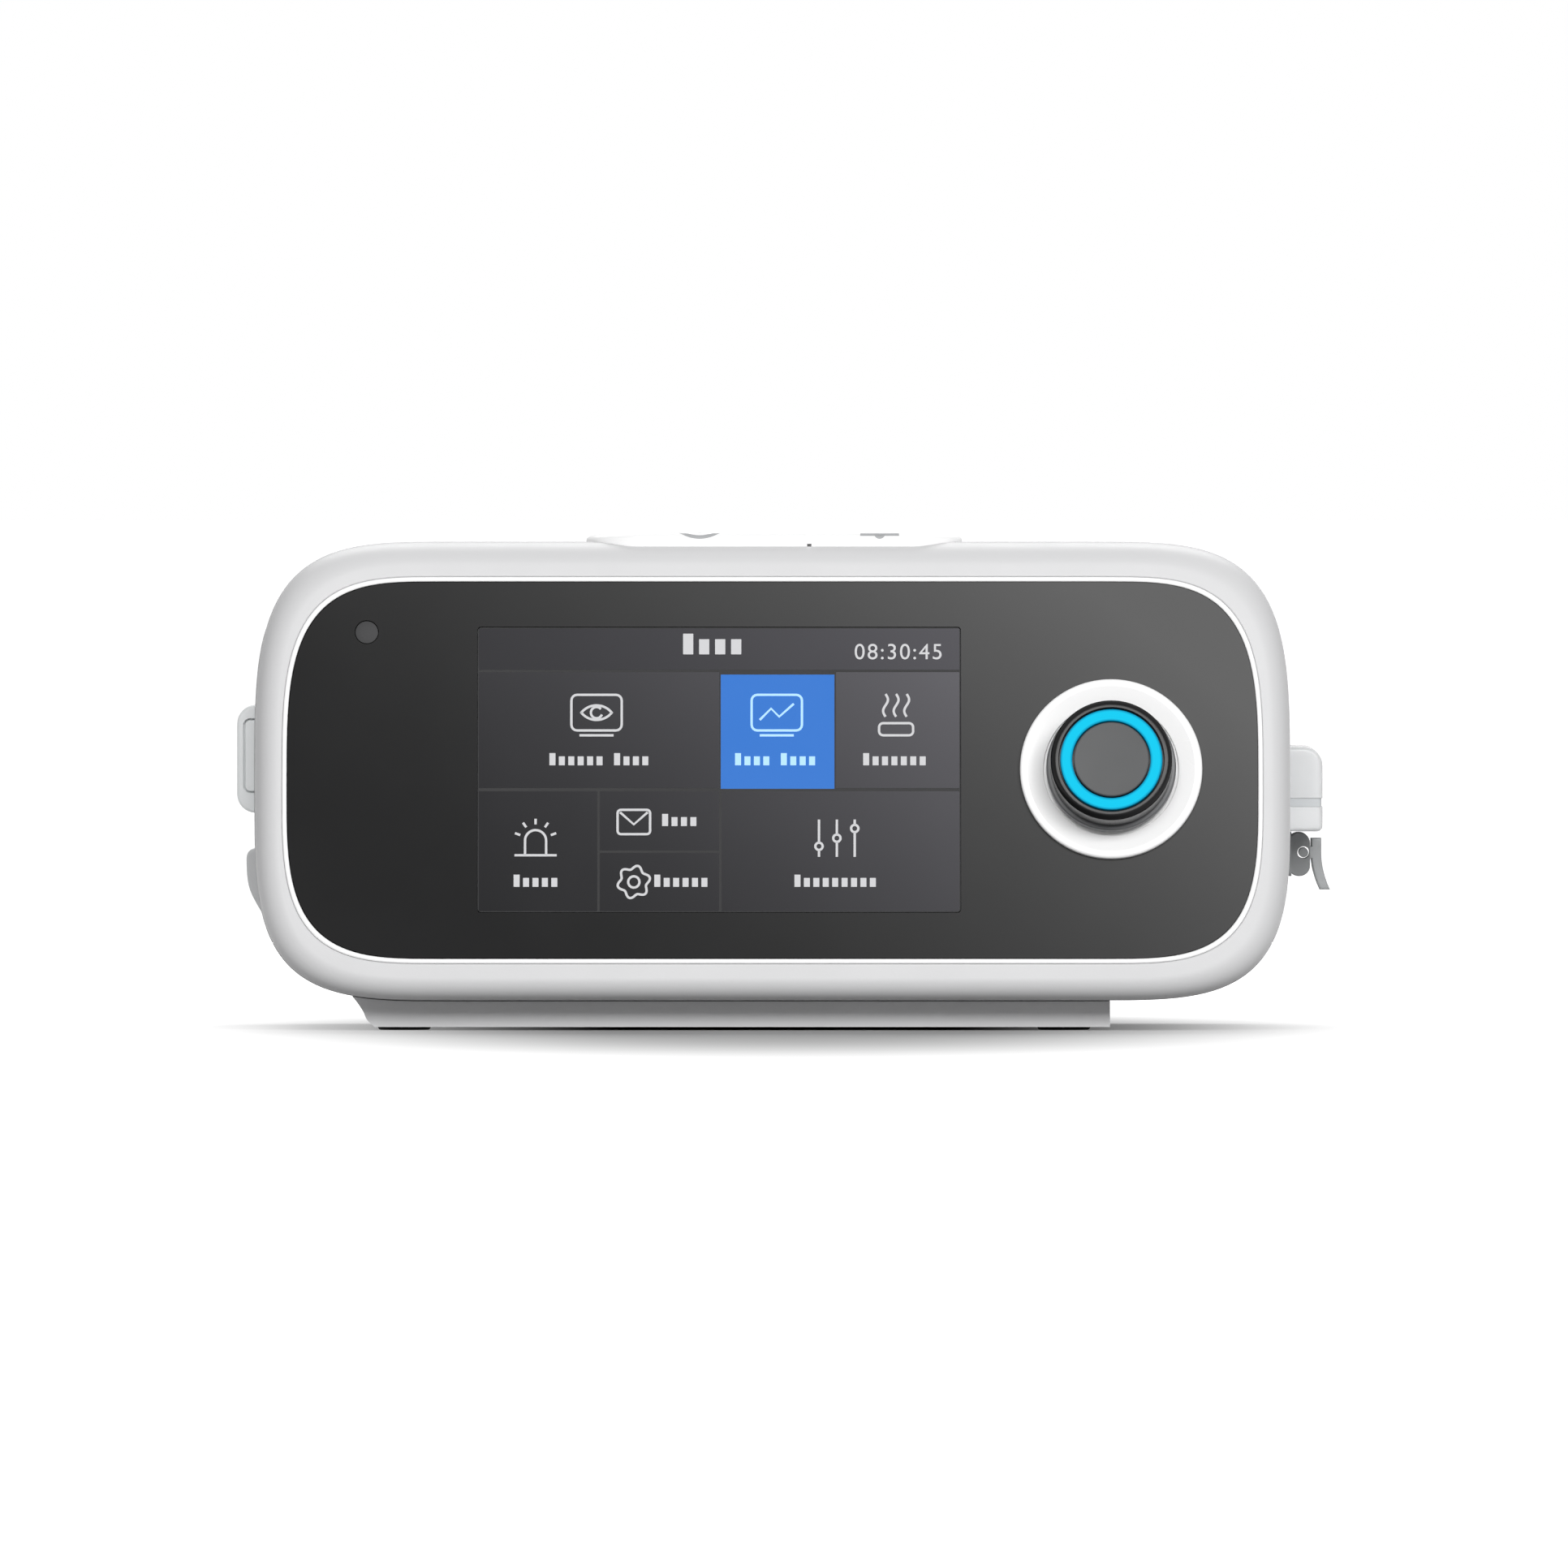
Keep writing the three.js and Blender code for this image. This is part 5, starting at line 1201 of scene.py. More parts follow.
# %% The body of the housing
BACK_STEPS = 10
RUN_IN = 0.003
LEFT = MIDDLE_X - HALF_WIDTH
RIGHT = MIDDLE_X + HALF_WIDTH
FAR_LEFT = LEFT - BACK_ROUND
LEFT_INNER = LEFT + BACK_ROUND
FAR_RIGHT = RIGHT + BACK_ROUND
round_start = BACK_Y - BACK_ROUND


def housing_body(inset, front_depth, name="housing_body"):
    """What the housing's skin encloses, drawn in by an inset, from behind the front to the round back."""
    reach = BACK_ROUND - inset
    outline = housing_outline(inset)
    rings = [on_front(outline, front_depth), on_front(outline, front_depth + RUN_IN)]
    rings.append(on_upright(housing_outline(inset, back_share=1), round_start - RUN_IN))
    for inwards, upwards in quarter_turn(BACK_STEPS):
        back_outline = housing_outline(inset + reach * inwards, back_share=1)
        rings.append(on_upright(back_outline, round_start + reach * upwards))
    return made_piece(name, skin(rings))


def wall(name, outer, inner):
    """A shell between two insets of the housing's skin."""
    return carved(housing_body(outer, FRAME_DEPTH + GAP, name), housing_body(inner, FRAME_DEPTH - OVERRUN))


def kept_half(piece, level, keep_low):
    """Keeps what lies below or above a level."""
    low, high = ((-1, -1, -1), (1, 1, level)) if keep_low else ((-1, -1, level), (1, 1, 1))
    return carved(piece, block(low, high, "z"), operation="INTERSECT")


def with_features(piece, node):
    """Adds what a solid has inside the housing's wall to a piece."""
    bm = bmesh.new()
    bm.from_mesh(bpy.data.objects[node].data)
    features = made_piece("features", bm, flip=False)
    carved(features, housing_body(WALL - GAP, FRAME_DEPTH), operation="INTERSECT")
    bm = bmesh.new()
    bm.from_mesh(piece.data)
    bm.from_mesh(features.data)
    bm.to_mesh(piece.data)
    bm.free()
    bpy.data.objects.remove(features)


# %% The places of the openings
SEAM = 0.020
PLAY = 0.0004
BAY_WALL = 0.0018
DOOR_INSET = 0.001
DOOR_PROUD = 0.0004
DOOR_LONG = 0.070
DOOR_CORNER = 0.008
FILTER_INSET = 0.0105
FILTER_CORNER = 0.002
KNUCKLE_SWEEP = 0.0034
KNUCKLE_INSET = 0.009
KNUCKLE_STEPS = 32
REAR_CORNER = 0.008
BAY_LOW, BAY_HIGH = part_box("tank_bay")
FLAP_LOW, FLAP_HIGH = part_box("port_flap")
REAR_LOW, REAR_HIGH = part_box("rear_panel")
PIN_LOW, PIN_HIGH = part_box("door_hinge_pin")
DOOR_NEAR, DOOR_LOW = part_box("filter_door")[0][1:]
DOOR_FAR, DOOR_HIGH = DOOR_NEAR + DOOR_LONG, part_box("filter_door")[1][2]
PIN_X, PIN_Y = middle_of("door_hinge_pin")[:2]
KNUCKLE_LOW = PIN_LOW[2] - GAP + KNUCKLE_INSET
KNUCKLE_HIGH = PIN_HIGH[2] + GAP - KNUCKLE_INSET
pin_place = Matrix.Translation((PIN_X, PIN_Y, 0))
pin_span = (KNUCKLE_LOW - PLAY, KNUCKLE_HIGH + PLAY)


def door_prism(margin):
    """What the filter door takes up in the housing's side, grown by a margin."""
    low = (FAR_LEFT, DOOR_NEAR - margin, DOOR_LOW - margin)
    high = (LEFT_INNER, DOOR_FAR + margin, DOOR_HIGH + margin)
    return block(low, high, "x", DOOR_CORNER + margin)


def bay_mouth():
    """The opening for the tank's bay in the right side."""
    room = PLAY - BAY_WALL
    low = (RIGHT - CORNER_WIDTH / 2, BAY_LOW[1] - room, BAY_LOW[2] - room)
    high = (FAR_RIGHT + OVERRUN, BAY_HIGH[1] + room, BAY_HIGH[2] + room)
    return block(low, high, "x", PLAY)


# %% Upper and lower shell
upper = kept_half(wall("upper_housing", 0, WALL), SEAM + GAP / 2, keep_low=False)
filter_low = (FAR_LEFT, DOOR_NEAR + FILTER_INSET, DOOR_LOW + FILTER_INSET)
filter_high = (LEFT_INNER, DOOR_FAR - FILTER_INSET, DOOR_HIGH - FILTER_INSET)
flap_low = (FAR_LEFT, FLAP_LOW[1] - PLAY, FLAP_LOW[2] - PLAY)
flap_high = (LEFT_INNER, FLAP_HIGH[1] + PLAY, FLAP_HIGH[2] + PLAY)
carved(upper, key_pocket(), carved(door_prism(PLAY), housing_body(DOOR_INSET + PLAY, 0)))
carved(upper, block(filter_low, filter_high, "x", FILTER_CORNER))
carved(upper, disc(KNUCKLE_SWEEP, *pin_span, pin_place, KNUCKLE_STEPS))
carved(upper, block((FAR_LEFT, DOOR_FAR - OVERRUN, pin_span[0]), (PIN_X, PIN_Y, pin_span[1])))
carved(upper, block(flap_low, flap_high, "x", PLAY))
carved(upper, block(*widened(REAR_LOW, REAR_HIGH, GAP, OVERRUN, GAP), "y", REAR_CORNER), bay_mouth())
with_features(upper, "upper_shell")
dressed(upper, "shell_white", "upper_shell")
lower = carved(kept_half(wall("lower_housing", 0, WALL), SEAM - GAP / 2, keep_low=True), bay_mouth())
with_features(lower, "lower_shell")
dressed(lower, "shell_white", "lower_shell")

# %% [markdown]
# ## The left side: filter door, pull and port flap
# A thin door follows the housing's skin over the air filter. It is the skin itself, thickened a little
# outwards and inwards, cut to a rounded rectangle, with a knuckle on its rear edge that turns about an
# upright pin. A raised pull with a sunk front end stands on it. Next to the door, a soft flap bulges
# over a small socket.

# %% Filter door
PIN_RADIUS = 0.0012
KNUCKLE_RADIUS = 0.0024
EDGE_WIDTH = 0.00025
EDGE_ANGLE = math.radians(40)
EDGE_STEPS = 2
door = carved(wall("air_door", -DOOR_PROUD, DOOR_INSET), door_prism(0), operation="INTERSECT")
rounding = door.modifiers.new("fine_edges", "BEVEL")
rounding.width = EDGE_WIDTH
rounding.segments = EDGE_STEPS
rounding.limit_method = "ANGLE"
rounding.angle_limit = EDGE_ANGLE
rounding.profile = ROUND_PROFILE
applied(door)
web_out = LEFT - DOOR_PROUD / 2
web_low = (web_out, DOOR_FAR - OVERRUN, KNUCKLE_LOW)
web = block(web_low, (web_out + DOOR_INSET + DOOR_PROUD, PIN_Y, KNUCKLE_HIGH))
knuckle = disc(KNUCKLE_RADIUS, KNUCKLE_LOW, KNUCKLE_HIGH, pin_place, KNUCKLE_STEPS)
carved(door, web, knuckle, operation="UNION")
carved(door, disc(PIN_RADIUS + GAP, KNUCKLE_LOW - OVERRUN, KNUCKLE_HIGH + OVERRUN, pin_place, KNUCKLE_STEPS))
dressed(door, "shell_white", "filter_door")

# %% Hinge pin, shorter than its solid so that it stays under the curved side
PIN_SEAT = 0.002
PIN_CHAMFER = 0.0003
PIN_HEAD = 0.0004
PIN_STEPS = 40
pin_low, pin_high = KNUCKLE_LOW - PIN_SEAT, KNUCKLE_HIGH + PIN_SEAT
pin = [
    (0, pin_low, 0),
    (PIN_RADIUS - PIN_CHAMFER, pin_low, 0),
    (PIN_RADIUS, pin_low + PIN_CHAMFER, 0),
    (PIN_RADIUS, pin_high - PIN_HEAD, 0),
    (PIN_RADIUS - PIN_CHAMFER, pin_high, PIN_CHAMFER / 2),
    (0, pin_high, 0),
]
dressed(turned("hinge_pin", pin, pin_place, steps=PIN_STEPS), "steel", "door_hinge_pin")

# %% Door pull and the lining of its sunk field
PULL_LOW, PULL_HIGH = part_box("door_pull")
PULL_CORNER = 0.0042
PULL_EDGE = 0.0008
FIELD_DEPTH = 0.0016
FIELD_REACH = 0.0014
FIELD_RISE = 0.0045
FIELD_DROP = 0.003
FIELD_CORNER = 0.0016
FIELD_LINE = 0.00045
FIELD_SINK = 0.0002
GROOVES = 3
GROOVE_DEEP = 0.0005
GROOVE_WIDE = 0.0012
GROOVE_PITCH = 0.0034
inner = PULL_HIGH[0] + 2 * PULL_CORNER
pull = block(PULL_LOW, (inner, PULL_HIGH[1], PULL_HIGH[2]), "y", PULL_CORNER, PULL_EDGE, "door_grip")
field_low = (PULL_LOW[0] + FIELD_REACH, PULL_LOW[1] - OVERRUN, PULL_LOW[2] + FIELD_RISE)
field_high = (inner, PULL_LOW[1] + FIELD_DEPTH, PULL_HIGH[2] - FIELD_DROP)
carved(pull, block(field_low, field_high, "y", FIELD_CORNER))
for groove in range(GROOVES):
    y = middle_of("door_pull")[1] + (groove - (GROOVES - 1) / 2) * GROOVE_PITCH
    low = (PULL_LOW[0] - OVERRUN, y - GROOVE_WIDE / 2, PULL_LOW[2] + FIELD_RISE)
    high = (PULL_LOW[0] + GROOVE_DEEP, y + GROOVE_WIDE / 2, PULL_HIGH[2] - FIELD_RISE)
    carved(pull, block(low, high, "x", GROOVE_WIDE / 3))
lining_low = (field_low[0] + FIELD_LINE, PULL_LOW[1] + FIELD_SINK, field_low[2] + FIELD_LINE)
lining_high = (inner, PULL_LOW[1] + FIELD_DEPTH + GAP, field_high[2] - FIELD_LINE)
lining = block(lining_low, lining_high, "y", FIELD_CORNER - FIELD_LINE, FINE_EDGE, "pull_field")
for piece in (pull, lining):
    carved(piece, housing_body(-DOOR_PROUD - GAP / 2, 0))
dressed(pull, "pull_blue_grey", "door_pull")
added_detail(lining, "pull_blue_grey", "door_pull")

# %% Port flap
FLAP_REACHES = (-0.0019, 0.0019, 0.0027, 0.0022, 0.0004)
FLAP_SHARES = (0, 0.42, 0.8, 0.95, 1)
FLAP_INNER_HIGH = 0.0022
FLAP_INNER_LOW = 0.0044
FLAP_EDGE = 0.0007
CURVE_SPAN_STEPS = 6


def smooth_run(points):
    """Points on a smooth curve that passes through every given point."""
    run = []
    for index, (start, end) in enumerate(zip(points, points[1:])):
        before, after = points[max(index - 1, 0)], points[min(index + 2, len(points) - 1)]
        way_out, way_in = (end - before) / 2, (after - start) / 2
        for step in range(CURVE_SPAN_STEPS):
            share = step / CURVE_SPAN_STEPS
            bend = way_out * share + (3 * (end - start) - 2 * way_out - way_in) * share**2
            run.append(start + bend + (2 * (start - end) + way_out + way_in) * share**3)
    return run + [points[-1]]


def drawn_block(outline, low, high, edge, name):
    """Extrudes a closed (x, z) outline from front to back and rounds its rims finely."""
    bm = bmesh.new()
    face = bm.faces.new([bm.verts.new((x, low, z)) for x, z in outline])
    grown = bmesh.ops.extrude_face_region(bm, geom=[face])["geom"]
    far = [item for item in grown if isinstance(item, bmesh.types.BMVert)]
    bmesh.ops.translate(bm, vec=(0, high - low, 0), verts=far)
    bmesh.ops.recalc_face_normals(bm, faces=bm.faces)
    round_rims(bm, "y", edge)
    return made_piece(name, bm)


flap_tall = FLAP_HIGH[2] - FLAP_LOW[2]
outer = [
    Vector((LEFT - reach, FLAP_LOW[2] + flap_tall * share)) for reach, share in zip(FLAP_REACHES, FLAP_SHARES)
]
outline = smooth_run(outer) + [(LEFT + FLAP_INNER_HIGH, FLAP_HIGH[2]), (LEFT + FLAP_INNER_LOW, FLAP_LOW[2])]
dressed(drawn_block(outline, FLAP_LOW[1], FLAP_HIGH[1], FLAP_EDGE, "socket_flap"), "flap_grey", "port_flap")

# %% [markdown]
# ## The right side: water tank and latch
# The tank slides out through the right side. What shows from outside is its end wall, which follows
# the housing's skin, and a raised handle block in a clear, slightly grey plastic. The wall is real:
# outer form less inner form. A clear plastic lets a share of its light through and bends it.

# %% Clear plastics and the tank's walls
PLASTIC_BEND = 1.46
CLEAR = {
    "tank_clear": {"levels": (250, 251, 252), "roughness": 0.2, "through": 0.36},
    # The bracket's clear plastic is a darker copy of the tongue's: painted shade for the shadow under the
    # handle.
    "latch_clear": {"levels": (150, 152, 153), "roughness": 0.25, "through": 0.35},
    "tongue_clear": {"levels": (186, 188, 189), "roughness": 0.25, "through": 0.4},
}
TANK_WALL = 0.0022
LID_WALL = 0.002
TANK_CORNER = 0.006
HANDLE_ROOT = 0.007
HANDLE_TOP_CORNER = 0.0044
HANDLE_FOOT_CORNER = 0.0012
HANDLE_EDGE = 0.001
HANDLE_INSET = 0.018
HANDLE_DROP = 0.001
FLANGE_HEIGHT = 0.0056
TUB_LOW, TUB_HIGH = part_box("water_tub")
LID_LOW, LID_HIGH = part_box("tank_lid")
SEAL_LOW, SEAL_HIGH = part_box("lid_seal")
tub_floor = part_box("tank_base_plate")[1][2] + GAP
handle_near = BAY_LOW[1] + HANDLE_INSET
handle_far = BAY_HIGH[1] - HANDLE_INSET
for name, look in CLEAR.items():
    made = moulded(name, look["levels"], look["roughness"], grain=0.000003, tone=0.015, sheen=0.03)
    on_surface(made, {"Transmission Weight": look["through"], "IOR": PLASTIC_BEND})


def tank_block(inset, low, high):
    """The tank's outer form inside the housing's skin, drawn in by an inset."""
    low_corner = (TUB_LOW[0] + inset, TUB_LOW[1] + inset, low)
    form = block(low_corner, (FAR_RIGHT, TUB_HIGH[1] - inset, high), "z", TANK_CORNER)
    return carved(form, housing_body(inset, FRAME_DEPTH), operation="INTERSECT")


def tank_wall(name, low, high, inset, wall_thick, opens, handle_low, handle_high, corner=HANDLE_FOOT_CORNER):
    """A tank piece: its outer form joined with the handle, made hollow, open below or above."""
    outside = tank_block(inset, low, high)
    handle_start = (RIGHT - HANDLE_ROOT, handle_near + inset, handle_low)
    handle_end = (LID_HIGH[0] - inset, handle_far - inset, handle_high)
    handle = kept_half(block(handle_start, handle_end, "y", corner, HANDLE_EDGE), high, keep_low=True)
    carved(outside, kept_half(handle, low, keep_low=False), operation="UNION")
    inner_low = low - OVERRUN if "low" in opens else low + wall_thick
    inner_high = high + OVERRUN if "high" in opens else high - wall_thick
    outside.name = name
    return carved(outside, tank_block(wall_thick, inner_low, inner_high))


# %% Tub with its runners
RUNNER_WIDE = 0.004
RUNNER_INSET = 0.0181
RUNNER_CORNER = 0.001
tub_top = TUB_HIGH[2]
handle_span = (tub_top - FLANGE_HEIGHT, tub_top + FLANGE_HEIGHT)
tub = tank_wall("tank_tub", tub_floor, tub_top, 0, TANK_WALL, ["high"], *handle_span)
for y in (TUB_LOW[1], TUB_HIGH[1] - RUNNER_WIDE):
    low = (TUB_LOW[0] + TANK_CORNER, y, TUB_LOW[2])
    high = (RIGHT - RUNNER_INSET, y + RUNNER_WIDE, tub_floor + OVERRUN)
    carved(tub, block(low, high, "z", RUNNER_CORNER), operation="UNION")
dressed(tub, "tank_clear", "water_tub")

# %% Seal, squeezed between tub and lid
SEAL_SQUEEZE = 0.00025
seal_low, seal_high = SEAL_LOW[2], SEAL_HIGH[2]
handle_span = (seal_low - FLANGE_HEIGHT, seal_high + FLANGE_HEIGHT)
seal_span = (seal_low - SEAL_SQUEEZE, seal_high + SEAL_SQUEEZE)
seal = tank_wall("tank_seal", *seal_span, SEAL_SQUEEZE, TANK_WALL, ["low", "high"], *handle_span)
dressed(seal, "seal_rubber", "lid_seal")

# %% Lid with its hollow handle and the two ports towards the dock
PORT_WIDE = 0.022
PORT_HIGH = 0.008
PORT_CORNER = 0.003
PORT_DRY = 0.013
PORT_WET = 0.017
lid_low, lid_high = LID_LOW[2], LID_HIGH[2]
handle_span = (lid_low - FLANGE_HEIGHT, lid_high - HANDLE_DROP)
lid = tank_wall("tank_cover", lid_low, lid_high, 0, LID_WALL, ["low"], *handle_span, HANDLE_TOP_CORNER)
hollow_low = (RIGHT - HANDLE_ROOT - OVERRUN, handle_near + LID_WALL, lid_low - OVERRUN)
hollow_high = (LID_HIGH[0] - LID_WALL, handle_far - LID_WALL, lid_high - HANDLE_DROP - LID_WALL)
carved(lid, block(hollow_low, hollow_high, "y", OVERRUN))
port_z = middle_of("tank_lid")[2]
for y in (BAY_LOW[1] + PORT_DRY, BAY_HIGH[1] - PORT_WET):
    low = (LID_LOW[0] - OVERRUN, y - PORT_WIDE / 2, port_z - PORT_HIGH / 2)
    high = (LID_LOW[0] + TANK_WALL + OVERRUN, y + PORT_WIDE / 2, port_z + PORT_HIGH / 2)
    carved(lid, block(low, high, "x", PORT_CORNER))
dressed(lid, "tank_clear", "tank_lid")

# %% [markdown]
# ## The latch
# Under the handle sits a small latch of clear plastic: a bracket with two ears, a pin and a lever whose
# tongue curves outwards for the finger. The tongue is drawn as an outline and extruded across.

# %% Bracket and lever
LATCH_LOW, LATCH_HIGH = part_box("latch_bracket")
LEVER_LOW, LEVER_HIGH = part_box("latch_lever")
PLATE_THICK = 0.0008
EAR_WIDE = 0.0024
EAR_CORNER = 0.0024
EAR_EDGE = 0.0003
HUB_RADIUS = 0.0022
LATCH_PIN_RADIUS = 0.0011
TONGUE_INSIDE = 0.0052
TONGUE_THICK = 0.0024
TONGUE_EDGE = 0.0005
WEB_HIGH = 0.0026
TONGUE_STEPS = 14
latch_x, _, latch_z = middle_of("latch_pin")
lying = Matrix.Rotation(-math.pi / 2, 4, "X")
latch_place = Matrix.Translation((latch_x, 0, latch_z)) @ lying


def latch_bore(low, high):
    """The hole for the latch's pin through a box."""
    return disc(LATCH_PIN_RADIUS + GAP, low[1] - OVERRUN, high[1] + OVERRUN, latch_place, PIN_STEPS)


plate_high = (LATCH_LOW[0] + PLATE_THICK, LATCH_HIGH[1], LATCH_HIGH[2])
bracket = block(LATCH_LOW, plate_high, "x", EAR_WIDE / 4, name="latch_frame")
for y in (LATCH_LOW[1], LATCH_HIGH[1] - EAR_WIDE):
    ear_low = (LATCH_LOW[0], y, LATCH_LOW[2])
    ear_high = (LATCH_HIGH[0], y + EAR_WIDE, LATCH_HIGH[2])
    carved(bracket, block(ear_low, ear_high, "y", EAR_CORNER, EAR_EDGE), operation="UNION")
# The bracket's darker clear plastic is painted shade from the handle above it.
dressed(carved(bracket, latch_bore(LATCH_LOW, LATCH_HIGH)), "latch_clear", "latch_bracket")

tongue_in = RIGHT + TONGUE_INSIDE
tongue_reach = LEVER_HIGH[0] - TONGUE_THICK - tongue_in
inner_side = [(tongue_in, LEVER_HIGH[2])]
for step in range(TONGUE_STEPS + 1):
    share = step / TONGUE_STEPS
    inner_side.append((tongue_in + tongue_reach * share**2, latch_z + (LEVER_LOW[2] - latch_z) * share))
outline = inner_side + [(x + TONGUE_THICK, z) for x, z in reversed(inner_side)]
lever = drawn_block(outline, LEVER_LOW[1], LEVER_HIGH[1], TONGUE_EDGE, "latch_tongue")
hub = disc(HUB_RADIUS, LEVER_LOW[1], LEVER_HIGH[1], latch_place, PIN_STEPS)
web_low = (latch_x, LEVER_LOW[1], latch_z - WEB_HIGH / 2)
web = block(web_low, (tongue_in + TONGUE_EDGE, LEVER_HIGH[1], latch_z + WEB_HIGH / 2))
carved(lever, carved(hub, web, operation="UNION"), operation="UNION")
dressed(carved(lever, latch_bore(LEVER_LOW, LEVER_HIGH)), "tongue_clear", "latch_lever")

# %% [markdown]
# ## The back: rear panel, hose port and sockets
# A grey panel fills an opening in the back. It carries the tapered hose port, a power socket with two
# pins, and a row of cooling slots. The hose port is a turned tube with a collar inside the panel. Its
# taper is what a hose cuff grips, so it keeps its true diameter.

# %% Rear panel
SLOTS = 6
SLOT_WIDE = 0.0022
SLOT_PITCH = 0.0046
SLOT_INSET = 0.041
SLOT_RISE = 0.008
SLOT_HIGH = 0.018
SLOT_CORNER_SHARE = 0.49
REAR_EDGE = 0.0004
NECK_RADIUS = 0.0116
SOCKET_FLANGE = 0.002
SOCKET_CORNER = 0.002
SOCKET_LOW, SOCKET_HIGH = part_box("power_socket")
hose_x, _, hose_z = middle_of("hose_port")
hose_place = Matrix.Translation((hose_x, 0, hose_z)) @ lying
cut_near, cut_far = REAR_LOW[1] - OVERRUN, REAR_HIGH[1] + OVERRUN
rear = block(REAR_LOW, REAR_HIGH, "y", REAR_CORNER, REAR_EDGE, "back_panel")
carved(rear, disc(NECK_RADIUS + GAP, cut_near, cut_far, hose_place))
socket_low, socket_high = widened(SOCKET_LOW, SOCKET_HIGH, GAP - SOCKET_FLANGE, 0, GAP - SOCKET_FLANGE)
socket_low[1], socket_high[1] = cut_near, cut_far
carved(rear, block(socket_low, socket_high, "y", SOCKET_CORNER))
for slot in range(SLOTS):
    low = (REAR_LOW[0] + SLOT_INSET + slot * SLOT_PITCH, cut_near, REAR_LOW[2] + SLOT_RISE)
    high = (low[0] + SLOT_WIDE, cut_far, low[2] + SLOT_HIGH)
    carved(rear, block(low, high, "y", SLOT_WIDE * SLOT_CORNER_SHARE))
dressed(rear, "rear_grey", "rear_panel")

# %% Hose port
HOSE_LOW, HOSE_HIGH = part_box("hose_port")
HOSE_BORE = 0.0092
HOSE_TIP = 0.0111
HOSE_COLLAR = 0.0135
NECK_LENGTH = 0.001
END_ROUND = 0.0006
collar_far = REAR_LOW[1] - GAP
tube = [
    (HOSE_BORE, HOSE_LOW[1], FINE_EDGE),
    (HOSE_COLLAR, HOSE_LOW[1], FINE_EDGE),
    (HOSE_COLLAR, collar_far, FINE_EDGE),
    (NECK_RADIUS, collar_far, 0),
    (NECK_RADIUS, BACK_Y + NECK_LENGTH, FINE_EDGE),
    (HOSE_TIP, HOSE_HIGH[1], END_ROUND),
    (HOSE_BORE, HOSE_HIGH[1], END_ROUND),
]
dressed(turned("hose_tube", tube, hose_place, closed=True), "shell_white", "hose_port")

# %% Power socket with its two contacts
SOCKET_WALL = 0.002
SOCKET_BACK = 0.003
SOCKET_FACE = 0.0015
CONTACT_WIDE = 0.0016
CONTACT_HIGH = 0.0032
CONTACT_LONG = 0.004
CONTACT_SPACE = 0.005
SOCKET_EDGE = 0.0005
socket_x, _, socket_z = middle_of("power_socket")
face_y = SOCKET_HIGH[1]
seat = SOCKET_LOW[1] + SOCKET_BACK
flange_low = (SOCKET_LOW[0], face_y - SOCKET_FACE, SOCKET_LOW[2])
inlet = block(flange_low, SOCKET_HIGH, "y", SOCKET_CORNER, SOCKET_EDGE, "power_inlet")
low, high = widened(SOCKET_LOW, SOCKET_HIGH, -SOCKET_FLANGE, 0, -SOCKET_FLANGE)
high[1] = face_y - SOCKET_EDGE
carved(inlet, block(low, high, "y", SOCKET_CORNER), operation="UNION")
low, high = widened(low, high, -SOCKET_WALL, 0, -SOCKET_WALL)
low[1], high[1] = seat, face_y + OVERRUN
carved(inlet, block(low, high, "y", SOCKET_CORNER / 2))
dressed(inlet, "black_plastic", "power_socket")
contacts = []
for side in (-1, 1):
    x = socket_x + side * CONTACT_SPACE / 2
    low = (x - CONTACT_WIDE / 2, seat - OVERRUN, socket_z - CONTACT_HIGH / 2)
    high = (x + CONTACT_WIDE / 2, seat + CONTACT_LONG, socket_z + CONTACT_HIGH / 2)
    contacts.append(rounded_block(low, high, "y", FINE_EDGE, FINE_EDGE))
added_detail(merged("power_contacts", contacts), "steel", "power_socket")

# %% [markdown]
# ## The base
# A grey plinth follows the curve of the housing's underside. Its left end sweeps down in a soft curve,
# and its right end is cut straight. Four rubber feet show under it as a thin dark line.

# %% Plinth, feet and screw wells
PLINTH_LOW, PLINTH_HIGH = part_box("base_plinth")
PLINTH_FLARE = 0.0065
PLINTH_TUCK = 0.0017
PLINTH_CORNER = 0.008
PLINTH_TALL = 0.00965
FLARE_SHARES = ((1, 1), (0.52, 0.72), (0.17, 0.4), (0, 0.17))
FOOT_EDGE = 0.0006
FOOT_STEPS = 48
SCREW_HEAD = 0.0026
SCREW_WELL = 0.0042
SCREW_SHANK = 0.0014
FEET = ["foot_front_left", "foot_rear_left", "foot_front_right", "foot_rear_right"]
SCREWS = ["base_screw_1", "base_screw_2", "base_screw_3", "base_screw_4"]
plinth_left = PLINTH_LOW[0] + PLINTH_FLARE
plinth_under = PLINTH_LOW[2]
plinth_top = plinth_under + PLINTH_TALL
flare = [
    Vector((plinth_left - PLINTH_FLARE * across, plinth_under + PLINTH_TALL * up))
    for across, up in FLARE_SHARES
]
outline = smooth_run(flare + [Vector((plinth_left + PLINTH_TUCK, plinth_under))])
outline += [(PLINTH_HIGH[0], plinth_under), (PLINTH_HIGH[0], plinth_top)]
plinth = drawn_block(outline, PLINTH_LOW[1], PLINTH_HIGH[1], 0, "grey_plinth")
plan_low = (PLINTH_LOW[0], PLINTH_LOW[1], 0)
plan_high = (PLINTH_HIGH[0] + PLINTH_CORNER, PLINTH_HIGH[1], plinth_top + OVERRUN)
carved(plinth, block(plan_low, plan_high, "z", PLINTH_CORNER), operation="INTERSECT")
carved(plinth, housing_body(-GAP, 0))
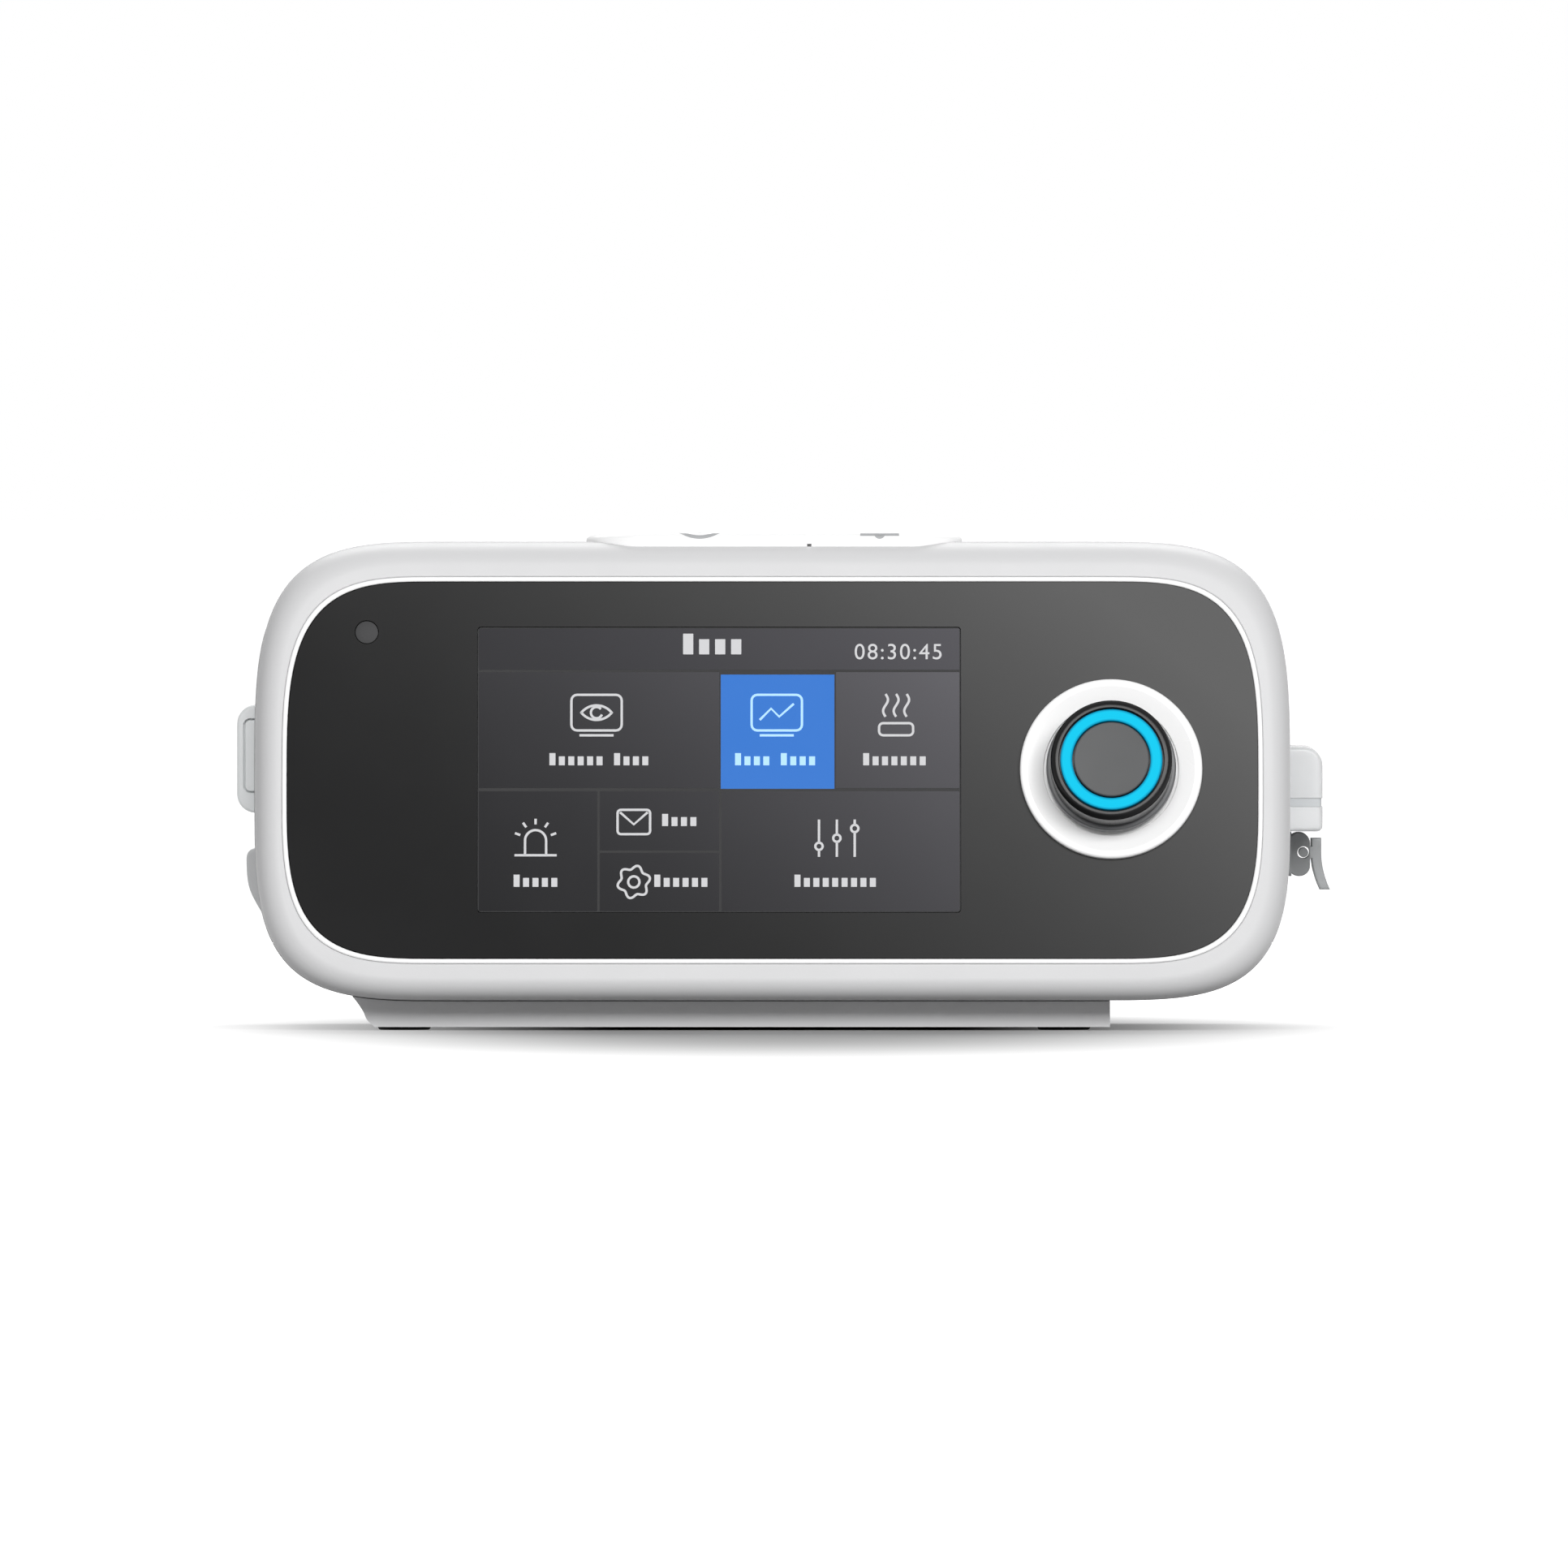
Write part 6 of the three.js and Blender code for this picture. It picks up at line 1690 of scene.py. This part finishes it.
for node in FEET:
    low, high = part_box(node)
    place = Matrix.Translation((*middle_of(node)[:2], 0))
    radius = (high[0] - low[0]) / 2
    carved(plinth, disc(radius + GAP, -OVERRUN, high[2] + GAP, place, KNUCKLE_STEPS))
    foot = [(0, low[2], 0), (radius, low[2], FOOT_EDGE), (radius, high[2], FINE_EDGE), (0, high[2], 0)]
    dressed(turned("pad_" + node, foot, place, steps=FOOT_STEPS), "rubber", node)
for node in SCREWS:
    place = Matrix.Translation((*middle_of(node)[:2], 0))
    carved(plinth, disc(SCREW_HEAD + GAP, -OVERRUN, SCREW_WELL + GAP, place, KNUCKLE_STEPS))
    carved(plinth, disc(SCREW_SHANK + GAP, 0, UNDER + PLINTH_TALL, place, KNUCKLE_STEPS))
dressed(plinth, "base_grey", "base_plinth")

# %% [markdown]
# ## Symbols on the keys
# Two printed symbols show on the front of the keys' crowns: an open ring for power and a bell for the
# alarm. They are the same pressed strokes as on the screen, wrapped over the crown like a sticker: each
# point keeps its distance from the shoulder, measured along the curve, and stands out by its height.

# %% Lay the symbols over the crowns
SYMBOL_WIDE = 0.0009
SYMBOL_ROUNDING = 4
SYMBOL_FRONT = 0.0007
PROFILE_STEPS = 120
BELL_STEPS = 24
RING_STEPS = 60
POWER_AT = -0.0166
POWER_SIZE = 0.0068
BELL_AT = 0.02446
BELL_SIZE = 0.0048
crown_profile = [
    Vector((0, KEY_NEAR + across, height))
    for across, height in (crown_place(*shares) for shares in quarter_turn(PROFILE_STEPS))
]


def on_crown(along):
    """The place at a distance from the shoulder along the crown's curve, and the way out of it."""
    for start, end in zip(crown_profile, crown_profile[1:]):
        way = end - start
        if along <= way.length:
            ahead = way.normalized()
            return start + ahead * along, Vector((0, -ahead.z, ahead.y))
        along -= way.length
    return crown_profile[-1] + Vector((0, along, 0)), Vector((0, 0, 1))


def crown_symbol(name, strokes, node, x, size):
    """Wraps strokes over a crown. They are given as shares of the symbol's size, with y upwards."""
    sized = [([(size * across, size * up) for across, up in points], closed) for points, closed in strokes]
    flat = Matrix.Translation((x, SYMBOL_FRONT + size, 0))
    bm = pressed_strokes(name, sized, flat, SYMBOL_WIDE, 0, SYMBOL_ROUNDING)
    for vert in bm.verts:
        x, along, over = vert.co
        place, outwards = on_crown(along)
        vert.co = place + Vector((x, 0, 0)) + outwards * (over + SYMBOL_PROUD)
    added_detail(made_piece(name, bm), "symbol_grey", node)


bar_low, bar_high, ring_start, ring_end = 0.25, 1.25, 130, 410
ring_stroke = arc((0, 0), 1, ring_start, ring_end, RING_STEPS, upwards=1)
power_strokes = [(ring_stroke, False), ([(0, bar_low), (0, bar_high)], False)]
crown_symbol("power_symbol", power_strokes, "power_button", MIDDLE_X + POWER_AT, POWER_SIZE)
foot, brim, half_dome, clapper, dome_at, dome_radius = -0.84, 0.92, 0.7, 0.16, 0.3, 0.63
dome = arc((0, dome_at), dome_radius, 180, 0, BELL_STEPS, upwards=1)
bell_strokes = [
    ([(-half_dome, foot)] + dome + [(half_dome, foot)], False),
    ([(-brim, foot), (brim, foot)], False),
    (arc((0, foot), clapper, 180, 360, BELL_STEPS, upwards=1), False),
]
crown_symbol("bell_symbol", bell_strokes, "mute_button", MIDDLE_X + BELL_AT, BELL_SIZE)

# %% [markdown]
# ## What is inside
# The inner solids keep their own meshes and get better materials, chosen by what they are made of on a
# real machine. They show when the tank is out or the door is open.

# %% Finishes for the solids that stay
KEPT_FINISHES = {
    "lcd_grey": ["lcd_module"],
    "board_green": ["main_board", "button_board"],
    "steel": ["encoder_shaft", "heater_plate", "tank_base_plate", *SCREWS],
    "black_plastic": ["encoder_body", "accessory_socket", "blower_motor"],
    "rubber": ["power_button_dome", "mute_button_dome", "blower_mount"],
    "foam": ["air_filter"],
    "shell_white": ["impeller"],
    # The pin shares the bracket's darker clear plastic, with its painted shade.
    "latch_clear": ["latch_pin"],
    "duct_grey": [
        "front_chassis", "filter_frame", "inlet_duct", "blower_base", "blower_cover", "tank_bay",
        "outlet_duct", "tank_dock", "hose_duct",
    ],
}
for finish, nodes in KEPT_FINISHES.items():
    for node in nodes:
        solid = bpy.data.objects[node]
        solid.data.materials.clear()
        solid.data.materials.append(FINISHES[finish])
print("solids kept", sum(len(nodes) for nodes in KEPT_FINISHES.values()))
